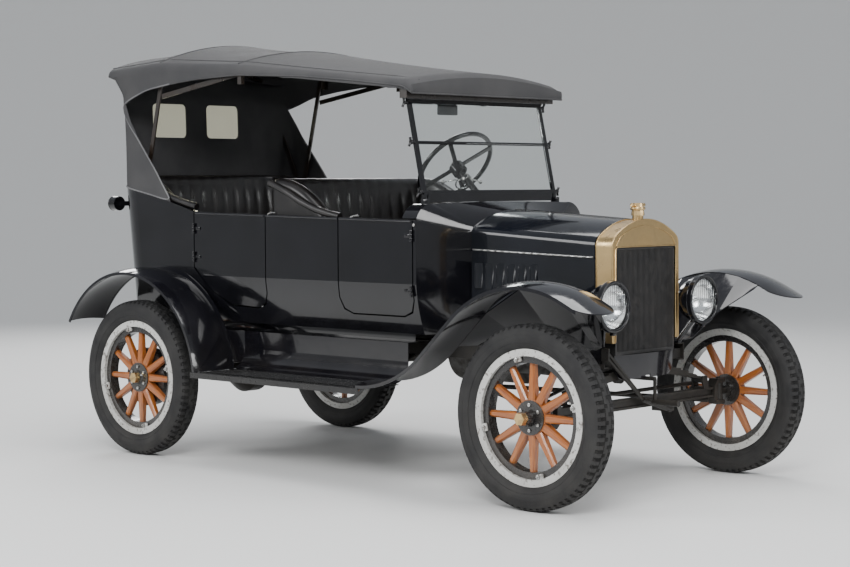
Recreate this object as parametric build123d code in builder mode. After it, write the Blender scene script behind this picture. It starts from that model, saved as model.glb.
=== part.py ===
from build123d import *
from math import asin, atan2, cos, degrees, pi, radians, sin, sqrt, tan
import os

os.makedirs("parts", exist_ok=True)

# Open touring car with its canvas top raised, millimetres.
# +X points forward, +Y to the driver's left, +Z up. The origin is on the ground under the middle of the car.

# Driving dimensions of the running gear
wheelbase = 2540
track = 1422
front_reach = 375
rear_reach = 505
tyre_radius = 386
frame_half_width = 292
frame_depth = 76
frame_top = 632

overall_length = wheelbase + front_reach + rear_reach
front_axle_x = overall_length / 2 - front_reach
rear_axle_x = front_axle_x - wheelbase
axle_z = tyre_radius
wheel_y = track / 2

# Clearances
seat_gap = 0.3
pin_gap = 0.3
door_gap = 7
panel_gap = 6

# Wheels
tyre_half_width = 60
tread_half_width = 44
rim_half_width = 40
rim_radius = 284
rim_seat_radius = 258
rim_wall = 4
felloe_outer_radius = rim_seat_radius - rim_wall - seat_gap
felloe_inner_radius = 225
felloe_half_width = 25
spoke_count = 12
spoke_root_width = 37
spoke_end_width = 27
spoke_root_depth = 40
spoke_end_depth = 30
nave_radius = 76
hub_radius = 30
flange_radius = 72
flange_thickness = 6
front_cap_reach = 95
rear_cap_reach = 60
cap_length = 25
cap_across_flats = 52
spindle_radius = 17
spindle_reach = 58
drum_radius = 145
drum_width = 46
drum_wall = 6
hub_back = 40

# Front axle and steering
kingpin_y = 620
kingpin_radius = 9
axle_beam_height = 46
axle_beam_width = 34
axle_beam_web = 10
yoke_ear = 20
knuckle_height = 76
knuckle_radius = 22
steering_arm_length = 140
steering_arm_thickness = 16
tie_rod_radius = 9
tie_rod_rise = 26
tie_pin_radius = 7

# Body sides, door outlines and the cowl, as distances behind the front axle or ahead of the rear one
body_half_width = 585
wall = 30
sill_z = 675
sill_half_width = 530
side_curve_z = 900
side_curve_mid = 785
side_curve_in = 18
rail_front_z = 1185
rail_rear_z = 1212
rail_corner_z = 1346
body_corner_radius = 200
hood_rear_x = front_axle_x - 695
cowl_rear_x = front_axle_x - 775
front_door_front = front_axle_x - 800
front_door_rear = front_axle_x - 1262
rear_door_front = rear_axle_x + 778
rear_door_rear = rear_axle_x + 265
body_rear_x = rear_axle_x - 395
door_bottom_z = 757
door_corner_radius = 70

# Fenders and running boards
fender_half_width = 820
fender_inner = 590
fender_crown = 30
fender_sheet = 4
board_top = 448
board_front_x = front_axle_x - 926
board_rear_x = rear_axle_x + 513
board_inner = 560
board_sheet = 4
board_flange = 26

# Radiator and hood
radiator_half_width = 240
radiator_top = 1185
radiator_bottom = 660
radiator_depth = 90
shell_wall = 4
core_half_width = 214
core_top = 1068
fin_count = 46
hood_sheet = 3
hood_front_x = front_axle_x - radiator_depth / 2 - panel_gap
hood_rear_half = 305
hood_rear_top = 1225
hinge_front_z = 1026
hinge_rear_z = 1050
hood_bottom_z = 716

# Windscreen
screen_foot_x = front_axle_x - 842
screen_foot_z = 1294
screen_height = 443
screen_rake = 12.5
screen_half_width = 467
screen_bar = 20
screen_depth = 16
glass_thickness = 5

# Canvas top
canopy_cloth = 6
header_x = front_axle_x - 915
canopy_front_x = front_axle_x - 850
bow_width = 28
bow_depth = 20

# Lamps
headlamp_x = front_axle_x + 119
headlamp_y = 327
headlamp_z = 825
headlamp_radius = 110
lens_radius = 98


# Wheels, modelled about the origin with the axle along Y and the outer face towards +Y
def wheel_revolve(outline):
    """Revolve an outline of (distance outboard, radius) points about the axle."""
    with BuildPart() as ring:
        with BuildSketch(Plane.YZ):
            with BuildLine():
                Polyline(outline, close=True)
            make_face()
        revolve(axis=Axis.Y)
    return ring.part


def tyre_part():
    """A tyre: rounded tread and shoulders, bulging side walls and beads that sit in the rim."""
    bead = rim_half_width - rim_wall - seat_gap
    low = rim_seat_radius + seat_gap
    flare = rim_radius + 2
    shoulder = tyre_radius - 4
    with BuildPart() as tyre:
        with BuildSketch(Plane.YZ):
            with BuildLine():
                Line((-bead, low), (bead, low))
                for side in (-1, 1):
                    Line((side * bead, low), (side * bead, flare))
                    ThreePointArc(
                        (side * bead, flare),
                        (side * tyre_half_width, (flare + tyre_radius) / 2),
                        (side * tread_half_width, shoulder),
                    )
                ThreePointArc((-tread_half_width, shoulder), (0, tyre_radius), (tread_half_width, shoulder))
            make_face()
        revolve(axis=Axis.Y)
    return tyre.part


def rim_part():
    """A demountable rim: a base band with a flange on each side."""
    out = rim_half_width
    flat = rim_half_width - rim_wall
    base = rim_seat_radius - rim_wall
    outline = [
        (-out, base), (out, base), (out, rim_radius), (flat, rim_radius),
        (flat, rim_seat_radius), (-flat, rim_seat_radius), (-flat, rim_radius), (-out, rim_radius),
    ]
    return wheel_revolve(outline)


def chamfered_rectangle(width, depth, cut):
    """The eight-sided section of a wooden spoke."""
    w = width / 2
    d = depth / 2
    Polyline(
        (-w, -d + cut), (-w + cut, -d), (w - cut, -d), (w, -d + cut),
        (w, d - cut), (w - cut, d), (-w + cut, d), (-w, d - cut), close=True,
    )


def spokes_part():
    """Twelve tapered wooden spokes that meet in a nave round the hub."""
    root = nave_radius - 8
    end = felloe_inner_radius - 0.5
    with BuildPart() as spokes:
        with BuildSketch(Plane.XZ.offset(-spoke_root_depth / 2)):
            Circle(nave_radius)
        extrude(amount=spoke_root_depth)
        for step in range(spoke_count):
            turn = radians(360 / spoke_count * step)
            along = Vector(sin(turn), 0, cos(turn))
            with BuildSketch(Plane(origin=along * root, x_dir=(0, 1, 0), z_dir=along)):
                with BuildLine():
                    chamfered_rectangle(spoke_root_depth, spoke_root_width, 6)
                make_face()
            with BuildSketch(Plane(origin=along * end, x_dir=(0, 1, 0), z_dir=along)):
                with BuildLine():
                    chamfered_rectangle(spoke_end_depth, spoke_end_width, 7)
                make_face()
            loft(ruled=True)
        with BuildSketch(Plane.XZ.offset(-spoke_root_depth)):
            Circle(hub_radius + seat_gap)
        extrude(amount=2 * spoke_root_depth, mode=Mode.SUBTRACT)
    return spokes.part


def hub_part(cap_reach, with_drum):
    """The hub barrel, its two flange plates, the hexagonal cap, the felloe band and a rear brake drum."""
    face = spoke_root_depth / 2 + seat_gap
    plate = face + flange_thickness
    barrel_end = cap_reach - cap_length
    bore_end = barrel_end - 8
    bore = spindle_radius + pin_gap
    back = [(-plate, flange_radius)]
    if with_drum:
        drum_in = -plate - drum_width
        drum_bore = drum_radius - drum_wall
        back = [
            (-face, drum_radius), (drum_in, drum_radius), (drum_in, drum_bore), (-plate, drum_bore),
        ]
    barrel = [
        (-hub_back, bore), (bore_end, bore), (bore_end, 0), (barrel_end, 0),
        (barrel_end, hub_radius), (plate, hub_radius + 6), (plate, flange_radius), (face, flange_radius),
        (face, hub_radius), (-face, hub_radius), (-face, flange_radius), *back,
        (-plate, hub_radius + 6), (-hub_back, hub_radius + 6),
    ]
    felloe = [
        (-felloe_half_width, felloe_inner_radius), (felloe_half_width, felloe_inner_radius),
        (felloe_half_width, felloe_outer_radius), (-felloe_half_width, felloe_outer_radius),
    ]
    barrel_solid = wheel_revolve(barrel)
    felloe_solid = wheel_revolve(felloe)
    with BuildPart() as hub:
        add(barrel_solid)
        add(felloe_solid)
        with BuildSketch(Plane.XZ.offset(-barrel_end)):
            RegularPolygon(cap_across_flats / 2, 6, major_radius=False)
        extrude(amount=-cap_length, taper=6)
    return hub.part


tyre = tyre_part()
rim = rim_part()
spokes = spokes_part()
front_hub = hub_part(front_cap_reach, False)
rear_hub = hub_part(rear_cap_reach, True)
# columns: corner, axle position, side (+1 is left), hub
wheels = [
    ("front_left", front_axle_x, 1, front_hub),
    ("front_right", front_axle_x, -1, front_hub),
    ("rear_left", rear_axle_x, 1, rear_hub),
    ("rear_right", rear_axle_x, -1, rear_hub),
]
for corner, wheel_x, side, hub in wheels:
    place = Location((wheel_x, side * wheel_y, axle_z), (0, 0, 90 - 90 * side))
    for kind, shape in (("tyre", tyre), ("rim", rim), ("spokes", spokes), ("hub", hub)):
        piece = shape.moved(place)
        piece.label = f"{kind}_{corner}"
        export_step(piece, f"parts/{kind}_{corner}.step")

# Frame rails: two pressed channels, open towards the middle of the car
rail_front_x = front_axle_x + 40
rail_rear_x = rear_axle_x - 60
rail_flange = 42
rail_sheet = 5
rail_bottom = frame_top - frame_depth
with BuildPart() as frame_rails:
    with BuildSketch(Plane.YZ.offset(rail_rear_x)):
        with Locations((frame_half_width - rail_flange / 2, frame_top - frame_depth / 2)):
            Rectangle(rail_flange, frame_depth)
        with Locations((frame_half_width - rail_flange / 2 - rail_sheet, frame_top - frame_depth / 2)):
            Rectangle(rail_flange, frame_depth - 2 * rail_sheet, mode=Mode.SUBTRACT)
        mirror(about=Plane.YZ)
    extrude(amount=rail_front_x - rail_rear_x)
frame_rails.part.label = "frame_rails"
export_step(frame_rails.part, "parts/frame_rails.step")

# Crossmembers at both ends, and the brackets that carry the running boards
cross_width = 50
cross_half = frame_half_width - rail_sheet - seat_gap
front_cross_under = rail_bottom + rail_sheet + seat_gap
front_cross_depth = 45
rear_cross_depth = 36
rear_cross_under = frame_top - rail_sheet - seat_gap - rear_cross_depth
bolt_radius = 5.5
bolt_spacing = 300
bracket_width = 40
bracket_sheet = 6
bracket_reach = fender_half_width - 14
bracket_root = frame_half_width - rail_flange
bracket_positions = (board_front_x - 150, board_rear_x + 150)
board_under = board_top - board_sheet - seat_gap
bracket_top = rail_bottom - seat_gap
with BuildPart() as frame_crossmembers:
    for cross_x, cross_under, cross_depth in (
        (front_axle_x, front_cross_under, front_cross_depth),
        (rear_axle_x, rear_cross_under, rear_cross_depth),
    ):
        with BuildSketch(Plane.XY.offset(cross_under)):
            with Locations((cross_x, 0)):
                Rectangle(cross_width, 2 * cross_half)
        extrude(amount=cross_depth)
    with BuildSketch(Plane.YZ.offset(rear_axle_x)):
        with Locations((0, rear_cross_under + rear_cross_depth / 2)):
            with GridLocations(bolt_spacing, bolt_spacing, 2, 1):
                Circle(bolt_radius)
    extrude(amount=cross_width, both=True, mode=Mode.SUBTRACT)
    for bracket_x in bracket_positions:
        with BuildSketch(Plane.YZ.offset(bracket_x - bracket_width / 2)):
            with BuildLine():
                Polyline(
                    (bracket_root, bracket_top), (frame_half_width, bracket_top), (board_inner, board_under),
                    (bracket_reach, board_under), (bracket_reach, board_under - bracket_sheet),
                    (board_inner - bracket_sheet, board_under - bracket_sheet),
                    (frame_half_width - bracket_sheet, bracket_top - bracket_sheet),
                    (bracket_root, bracket_top - bracket_sheet), close=True,
                )
            make_face()
            mirror(about=Plane.YZ)
        extrude(amount=bracket_width)
frame_crossmembers.part.label = "frame_crossmembers"
export_step(frame_crossmembers.part, "parts/frame_crossmembers.step")

# Engine: one plain block on two arms that rest on the rails
engine_front = front_axle_x - 120
engine_rear = front_axle_x - 620
engine_half_width = 140
engine_bottom = 490
engine_top = 1000
gearbox_rear = front_axle_x - 1000
gearbox_radius = 130
crank_z = 495
crank_radius = 9
boss_radius = 34
boss_length = 30
engine_arm_x = front_axle_x - 560
with BuildPart() as engine:
    with BuildSketch(Plane.XY.offset(engine_bottom)):
        with Locations(((engine_front + engine_rear) / 2, 0)):
            RectangleRounded(engine_front - engine_rear, 2 * engine_half_width, 30)
    extrude(amount=engine_top - engine_bottom)
    with BuildSketch(Plane.YZ.offset(engine_front)):
        with Locations((0, crank_z)):
            Circle(boss_radius)
    extrude(amount=boss_length)
    with BuildSketch(Plane.YZ.offset(engine_rear)):
        with Locations((0, engine_bottom + gearbox_radius / 2)):
            Circle(gearbox_radius)
        with Locations((0, engine_bottom + gearbox_radius / 2 + 150)):
            Rectangle(600, 200, mode=Mode.SUBTRACT)
    extrude(amount=gearbox_rear - engine_rear)
    with BuildSketch(Plane.XY.offset(frame_top + seat_gap)):
        with Locations((engine_arm_x, 0)):
            Rectangle(60, 2 * (frame_half_width - 27))
    extrude(amount=12)
engine.part.label = "engine"
export_step(engine.part, "parts/engine.step")

# Front axle: an I-beam with a forked yoke at each end and the kingpins
yoke_half = knuckle_height / 2 + 1
with BuildPart() as front_axle:
    with BuildSketch(Plane.XZ.offset(-(kingpin_y - 40))):
        with Locations((front_axle_x, axle_z)):
            Rectangle(axle_beam_width, axle_beam_height)
            with Locations((axle_beam_width / 2, 0), (-axle_beam_width / 2, 0)):
                Rectangle(axle_beam_width - axle_beam_web, axle_beam_height - 20, mode=Mode.SUBTRACT)
    extrude(amount=2 * (kingpin_y - 40))
    with BuildSketch(Plane.YZ.offset(front_axle_x - 24)):
        for side in (-1, 1):
            with BuildLine():
                inner = side * (kingpin_y - 62)
                slot = side * (kingpin_y - 34)
                outer = side * (kingpin_y + 20)
                top = axle_z + yoke_half + yoke_ear
                low = axle_z - yoke_half - yoke_ear
                Polyline(
                    (inner, top - 30), (slot, top), (outer, top), (outer, axle_z + yoke_half),
                    (slot, axle_z + yoke_half), (slot, axle_z - yoke_half), (outer, axle_z - yoke_half),
                    (outer, low), (slot, low), (inner, low + 30), close=True,
                )
            make_face()
    extrude(amount=48)
    with BuildSketch(Plane.XY.offset(axle_z - yoke_half - yoke_ear)):
        with Locations((front_axle_x, kingpin_y), (front_axle_x, -kingpin_y)):
            Circle(kingpin_radius)
    extrude(amount=2 * (yoke_half + yoke_ear) + 6)
front_axle.part.label = "front_axle"
export_step(front_axle.part, "parts/front_axle.step")

# Knuckles: a boss round the kingpin, the wheel spindle and a steering arm that points back
arm_end_x = front_axle_x - steering_arm_length
for hand, side in (("left", 1), ("right", -1)):
    pin_y = side * kingpin_y
    with BuildPart() as knuckle:
        with BuildSketch(Plane.XY.offset(axle_z - knuckle_height / 2)):
            with Locations((front_axle_x, pin_y)):
                Circle(knuckle_radius)
        extrude(amount=knuckle_height)
        with BuildSketch(Plane.XZ.offset(-pin_y)):
            with Locations((front_axle_x, axle_z)):
                Circle(spindle_radius)
        extrude(amount=-side * (wheel_y + spindle_reach - kingpin_y))
        with BuildSketch(Plane.XY.offset(axle_z - steering_arm_thickness / 2)):
            with Locations(((front_axle_x + arm_end_x) / 2, pin_y)):
                Rectangle(steering_arm_length, 24)
            with Locations((arm_end_x, pin_y)):
                Circle(17)
        extrude(amount=steering_arm_thickness)
        with BuildSketch(Plane.XY.offset(axle_z - knuckle_height)):
            with Locations((front_axle_x, pin_y)):
                Circle(kingpin_radius + pin_gap)
            with Locations((arm_end_x, pin_y)):
                Circle(tie_pin_radius + pin_gap)
        extrude(amount=2 * knuckle_height, mode=Mode.SUBTRACT)
    knuckle.part.label = f"knuckle_{hand}"
    export_step(knuckle.part, f"parts/knuckle_{hand}.step")

# Steering column line, from the wheel hub down to the drop arm under the left rail
wheel_hub = Vector(front_axle_x - 1353, 330, 1422)
column_foot = Vector(front_axle_x - 340, 218, 566)
column_down = (column_foot - wheel_hub).normalized()
column_plane = Plane(origin=wheel_hub, x_dir=(0, 1, 0), z_dir=column_down)
column_length = (column_foot - wheel_hub).length
column_radius = 16
drop_arm_length = 120
drop_arm_radius = 9
drop_arm_thickness = 14
drop_arm_back = 5
arm_hang = column_plane.y_dir * (-1 if column_plane.y_dir.Z > 0 else 1)
drop_end = column_foot + arm_hang * drop_arm_length

# Tie rod between the steering arms, with the drag link that the drop arm pushes
rod_z = axle_z + tie_rod_rise
link_gap = 14
link_end = drop_end + Vector(drop_arm_radius + link_gap, 0, 0)
link_start = Vector(arm_end_x, -kingpin_y + 60, rod_z)
link_plane = Plane(origin=link_start, z_dir=link_end - link_start)
with BuildPart() as tie_rod:
    with BuildSketch(Plane.XZ.offset(-kingpin_y)):
        with Locations((arm_end_x, rod_z)):
            Circle(tie_rod_radius)
    extrude(amount=2 * kingpin_y)
    with BuildSketch(Plane.XY.offset(axle_z - steering_arm_thickness)):
        with Locations((arm_end_x, kingpin_y), (arm_end_x, -kingpin_y)):
            Circle(tie_pin_radius)
    extrude(amount=rod_z + tie_rod_radius + 4 - axle_z + steering_arm_thickness)
    with BuildSketch(Plane.XZ.offset(-link_start.Y - 20)):
        with Locations((arm_end_x, rod_z)):
            Circle(tie_rod_radius + 5)
    extrude(amount=40)
    with BuildSketch(link_plane):
        Circle(tie_rod_radius - 1)
    extrude(amount=(link_end - link_start).length)
tie_rod.part.label = "tie_rod"
export_step(tie_rod.part, "parts/tie_rod.step")

# Column tube with its bracket on the left rail
bracket_z = 662
column_start = 40
bracket_share = (wheel_hub.Z - bracket_z) / (wheel_hub.Z - column_foot.Z)
bracket_at = wheel_hub + (column_foot - wheel_hub) * bracket_share
with BuildPart() as steering_column:
    with BuildSketch(column_plane.offset(column_start)):
        Circle(column_radius)
    extrude(amount=column_length - column_start - drop_arm_back - seat_gap)
    with BuildSketch(Plane.XY.offset(frame_top + seat_gap)):
        with Locations((bracket_at.X, (bracket_at.Y + frame_half_width - 31) / 2)):
            Rectangle(40, frame_half_width - 31 - bracket_at.Y)
    extrude(amount=bracket_z - frame_top)
steering_column.part.label = "steering_column"
export_step(steering_column.part, "parts/steering_column.step")

# Drop arm on the foot of the column, hanging across it
arm_plane = Plane(origin=column_foot - column_down * drop_arm_back, x_dir=arm_hang, z_dir=column_down)
with BuildPart() as drop_arm:
    with BuildSketch(arm_plane):
        with Locations((drop_arm_length / 2, 0)):
            SlotCenterToCenter(drop_arm_length, 2 * drop_arm_radius + 6)
    extrude(amount=drop_arm_thickness)
drop_arm.part.label = "drop_arm"
export_step(drop_arm.part, "parts/drop_arm.step")

# Steering wheel: rim, four spokes and a hub with the gear case under it
steering_rim_radius = 203
steering_rim_section = 12
with BuildPart() as steering_wheel:
    with BuildSketch(Plane(origin=wheel_hub, x_dir=(0, 1, 0), z_dir=column_plane.y_dir)):
        with Locations((steering_rim_radius, 0)):
            Circle(steering_rim_section)
    revolve(axis=Axis(wheel_hub, column_down))
    with BuildSketch(column_plane.offset(-8)):
        for turn in (45, 135):
            Rectangle(2 * steering_rim_radius, 22, rotation=turn)
    extrude(amount=8)
    with BuildSketch(column_plane.offset(-14)):
        Circle(38)
    extrude(amount=46)
steering_wheel.part.label = "steering_wheel"
export_step(steering_wheel.part, "parts/steering_wheel.step")

# Springs: a pack of leaves across the car over each axle
leaf_thickness = 8
leaf_width = 46


def spring_part(centre_x, half_span, eye_z, spring_rise, leaf_count, leaf_step):
    """Arched leaves about one centre of curvature, longest at the bottom, with an eye at each end."""
    radius = (half_span ** 2 + spring_rise ** 2) / (2 * spring_rise)
    centre_z = eye_z + spring_rise - radius
    with BuildPart() as spring:
        with BuildSketch(Plane.YZ.offset(centre_x - leaf_width / 2)):
            for leaf in range(leaf_count):
                reach = half_span - leaf * leaf_step
                angle = degrees(atan2(reach, sqrt(radius ** 2 - reach ** 2)))
                inner = radius + leaf * leaf_thickness
                outer = inner + leaf_thickness
                with BuildLine():
                    ends = []
                    for r in (inner, outer):
                        y = r * sin(radians(angle))
                        z = r * cos(radians(angle))
                        ThreePointArc((-y, centre_z + z), (0, centre_z + r), (y, centre_z + z))
                        ends.append((y, centre_z + z))
                    Line(ends[0], ends[1])
                    Line((-ends[0][0], ends[0][1]), (-ends[1][0], ends[1][1]))
                make_face()
            with Locations((half_span, eye_z), (-half_span, eye_z)):
                Circle(16)
        extrude(amount=leaf_width)
    return spring.part


# Each spring's middle is bolted under its crossmember, and shackles join its eyes to the axle
front_spring_half = 470
rear_spring_half = 520
rear_leaf_count = 6
front_leaf_count = 7
front_rise = 55
rear_rise = 92
front_eye_z = front_cross_under - seat_gap - front_rise - front_leaf_count * leaf_thickness
rear_eye_z = rear_cross_under - seat_gap - rear_rise - rear_leaf_count * leaf_thickness
front_spring = spring_part(front_axle_x, front_spring_half, front_eye_z, front_rise, front_leaf_count, 60)
rear_spring = spring_part(rear_axle_x, rear_spring_half, rear_eye_z, rear_rise, rear_leaf_count, 90)

# Spring perches: shackle plates on both sides of each spring eye, standing on the axles
shackle_gap = leaf_width / 2 + seat_gap
shackle_sheet = 8
beam_top = axle_z + axle_beam_height / 2
housing_radius = 38
# columns: axle position, distance of the eye from the middle, height of the eye, height of the seat
shackle_sets = [
    (front_axle_x, front_spring_half, front_eye_z, beam_top),
    (rear_axle_x, rear_spring_half, rear_eye_z, axle_z + housing_radius),
]
with BuildPart() as springs:
    add(front_spring)
    add(rear_spring)
    for set_x, set_y, eye_z, seat_z in shackle_sets:
        for offset in (shackle_gap, -shackle_gap - shackle_sheet):
            with BuildSketch(Plane.YZ.offset(set_x + offset)):
                for side in (-1, 1):
                    with BuildLine():
                        Polyline(
                            (side * (set_y - 18), eye_z - 8), (side * (set_y - 18), eye_z + 18),
                            (side * (set_y + 18), eye_z + 18), (side * (set_y + 30), seat_z + seat_gap),
                            (side * (set_y - 6), seat_z + seat_gap), close=True,
                        )
                    make_face()
            extrude(amount=shackle_sheet)
        with BuildSketch(Plane.XY.offset(seat_z + seat_gap)):
            with Locations((set_x, set_y + 12), (set_x, -set_y - 12)):
                Rectangle(2 * (shackle_gap + shackle_sheet), 34)
        extrude(amount=8)
springs.part.label = "springs"
export_step(springs.part, "parts/springs.step")

# Radius rods from the front axle's ends back to a ball under the gearbox
rod_radius = 11
ball_x = gearbox_rear + 90
ball_z = engine_bottom + gearbox_radius / 2 - gearbox_radius - 26
axle_under = axle_z - axle_beam_height / 2
with BuildPart() as radius_rods:
    for side in (-1, 1):
        start = Vector(front_axle_x, side * (kingpin_y - 80), axle_under - rod_radius - 2)
        end = Vector(ball_x, 0, ball_z)
        with BuildSketch(Plane(origin=start, z_dir=end - start)):
            Circle(rod_radius)
        extrude(amount=(end - start).length)
    with BuildSketch(Plane.XY.offset(ball_z - 20)):
        with Locations((ball_x, 0)):
            Circle(22)
    extrude(amount=20 + 26 - seat_gap)
radius_rods.part.label = "radius_rods"
export_step(radius_rods.part, "parts/radius_rods.step")

# Rear axle: a banjo housing with tapered tubes, the torque tube, its radius rods and brake backing plates
banjo_radius = 128
shaft_end = wheel_y + rear_cap_reach - cap_length - 12
backing_y = wheel_y - 66
backing_radius = 133
backing_sheet = 4
backing_front = backing_y + backing_sheet
torque_front_x = gearbox_rear - seat_gap
torque_front_z = engine_bottom + gearbox_radius / 2
# columns: radius, distance from the middle of the car
housing_outline = [
    (0, 0), (banjo_radius, 0), (banjo_radius, 40), (70, 120), (housing_radius, 190),
    (housing_radius, backing_y), (backing_radius, backing_y), (backing_radius, backing_front),
    (spindle_radius, backing_front), (spindle_radius, shaft_end), (0, shaft_end),
]
with BuildPart() as rear_axle:
    with BuildSketch(Plane.XY.offset(axle_z)):
        for side in (-1, 1):
            with BuildLine():
                Polyline(
                    *[(rear_axle_x + radius, side * y) for radius, y in housing_outline], close=True,
                )
            make_face()
    revolve(axis=Axis((rear_axle_x, 0, axle_z), (0, 1, 0)))
    torque_start = Vector(rear_axle_x + 60, 0, axle_z)
    torque_end = Vector(torque_front_x, 0, torque_front_z)
    with BuildSketch(Plane(origin=torque_start, z_dir=torque_end - torque_start)):
        Circle(30)
    extrude(amount=(torque_end - torque_start).length - 4)
    for side in (-1, 1):
        start = Vector(rear_axle_x + 20, side * (backing_y - 30), axle_z)
        end = torque_start + (torque_end - torque_start) * 0.92
        with BuildSketch(Plane(origin=start, z_dir=end - start)):
            Circle(rod_radius)
        extrude(amount=(end - start).length)
rear_axle.part.label = "rear_axle"
export_step(rear_axle.part, "parts/rear_axle.step")

# Radiator shell: an arched brass cowling round the core, open behind and below
shell_front_x = front_axle_x + radiator_depth / 2
shell_rear_x = front_axle_x - radiator_depth / 2
shoulder_in = 22
crown_drop = 69


def arch_points(half_width, top):
    """Points in Y and Z where the crown ends, halfway round the shoulder and where the straight side begins."""
    crown_end = half_width - shoulder_in
    crown_radius = (crown_end**2 + crown_drop**2) / (2 * crown_drop)
    slope = asin(crown_end / crown_radius)
    shoulder = shoulder_in / (1 - sin(slope))
    centre_y = half_width - shoulder
    centre_z = top - crown_drop - shoulder * cos(slope)
    halfway = (slope + pi / 2) / 2
    return (
        (crown_end, top - crown_drop),
        (centre_y + shoulder * sin(halfway), centre_z + shoulder * cos(halfway)),
        (half_width, centre_z),
    )


def arch_lines(half_width, top):
    """The round part of the arch: a crown that runs smoothly into two tighter shoulders."""
    crown, halfway, spring = arch_points(half_width, top)
    ThreePointArc((-crown[0], crown[1]), (0, top), crown)
    for side in (-1, 1):
        ThreePointArc(
            (side * crown[0], crown[1]), (side * halfway[0], halfway[1]), (side * spring[0], spring[1]),
        )
    return spring[1]


def arch_outline(half_width, top, low, inset):
    """Arched outline in Y and Z with straight sides and a flat foot."""
    w = half_width - inset
    spring_z = arch_lines(w, top - inset)
    for side in (-1, 1):
        Line((side * w, spring_z), (side * w, low))
    Line((-w, low), (w, low))


with BuildPart() as radiator_shell:
    with BuildSketch(Plane.YZ.offset(shell_rear_x)):
        with BuildLine():
            arch_outline(radiator_half_width, radiator_top, radiator_bottom, 0)
        make_face()
    extrude(amount=radiator_depth)
    with BuildSketch(Plane.YZ.offset(shell_rear_x)):
        with BuildLine():
            arch_outline(radiator_half_width, radiator_top, radiator_bottom - 10, shell_wall)
        make_face()
    extrude(amount=radiator_depth - shell_wall, mode=Mode.SUBTRACT)
    with BuildSketch(Plane.YZ.offset(shell_rear_x)):
        with Locations((0, radiator_bottom - 10)):
            Rectangle(2 * core_half_width + 8, core_top + 15 - radiator_bottom, align=(Align.CENTER, Align.MIN))
    extrude(amount=2 * radiator_depth, mode=Mode.SUBTRACT)
    with BuildSketch(Plane.XY.offset(radiator_top - 2)):
        with Locations((front_axle_x, 0)):
            Circle(24)
    extrude(amount=20)
    with BuildSketch(Plane.XY.offset(radiator_top + 18)):
        with Locations((front_axle_x, 0)):
            RegularPolygon(30, 12)
    extrude(amount=54, taper=8)
radiator_shell.part.label = "radiator_shell"
export_step(radiator_shell.part, "parts/radiator_shell.step")

# Radiator core: a block of upright fins between two side plates, with the header tank above
core_bottom = front_cross_under + front_cross_depth + seat_gap
core_depth = 70
core_rear_x = shell_front_x - shell_wall - seat_gap - core_depth
fin_pitch = (2 * core_half_width - 20) / fin_count
with BuildPart() as radiator_core:
    with BuildSketch(Plane.XY.offset(core_bottom)):
        with Locations((core_rear_x + core_depth / 2, 0)):
            Rectangle(core_depth, 2 * core_half_width)
    extrude(amount=core_top - core_bottom)
    with BuildSketch(Plane.XY.offset(core_bottom + 14)):
        with Locations((core_rear_x + core_depth, 0)):
            with GridLocations(fin_pitch, fin_pitch, 1, fin_count):
                Rectangle(24, fin_pitch / 2)
    extrude(amount=core_top - core_bottom - 24, mode=Mode.SUBTRACT)
radiator_core.part.label = "radiator_core"
export_step(radiator_core.part, "parts/radiator_core.step")

# Apron under the core: a bulged pressing with rounded lower corners that stands on the frame's front end
apron_top = core_bottom - seat_gap
apron_bottom = 500
apron_bulge = 26
apron_sheet = 6
apron_spare = 10
apron_back_x = front_axle_x + cross_width / 2 + seat_gap
with BuildPart() as radiator_apron:
    with BuildSketch(Plane.XY.offset(apron_bottom - apron_spare)):
        with BuildLine():
            apron_edge = core_half_width + apron_spare
            for face_x in (apron_back_x, apron_back_x + apron_sheet):
                ThreePointArc((face_x, -apron_edge), (face_x + apron_bulge, 0), (face_x, apron_edge))
            for edge_y in (-apron_edge, apron_edge):
                Line((apron_back_x, edge_y), (apron_back_x + apron_sheet, edge_y))
        make_face()
    extrude(amount=apron_top - apron_bottom + apron_spare)
    with BuildSketch(Plane.YZ.offset(shell_front_x)):
        with Locations((0, apron_top)):
            RectangleRounded(2 * core_half_width - 2, 2 * (apron_top - apron_bottom), 60)
    extrude(amount=60, both=True, mode=Mode.INTERSECT)
    with BuildSketch(Plane.YZ.offset(shell_front_x)):
        with Locations((0, apron_bottom)):
            Rectangle(4 * crank_radius, 3 * crank_radius)
    extrude(amount=60, both=True, mode=Mode.SUBTRACT)
radiator_apron.part.label = "radiator_apron"
export_step(radiator_apron.part, "parts/radiator_apron.step")

# Hood: one lofted arch, cut into two top panels and two side panels
hood_length = hood_front_x - hood_rear_x


def hood_loft(inset, low, overrun):
    """The hood's arched form from the radiator back to the cowl."""
    slope_w = (hood_rear_half - radiator_half_width) / hood_length
    slope_t = (hood_rear_top - radiator_top) / hood_length
    with BuildPart() as form:
        for x in (hood_front_x + overrun, hood_rear_x - overrun):
            with BuildSketch(Plane.YZ.offset(x)):
                with BuildLine():
                    back = hood_front_x - x
                    arch_outline(
                        radiator_half_width + slope_w * back, radiator_top + slope_t * back, low, inset,
                    )
                make_face()
        loft(ruled=True)
    return form.part


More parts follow.
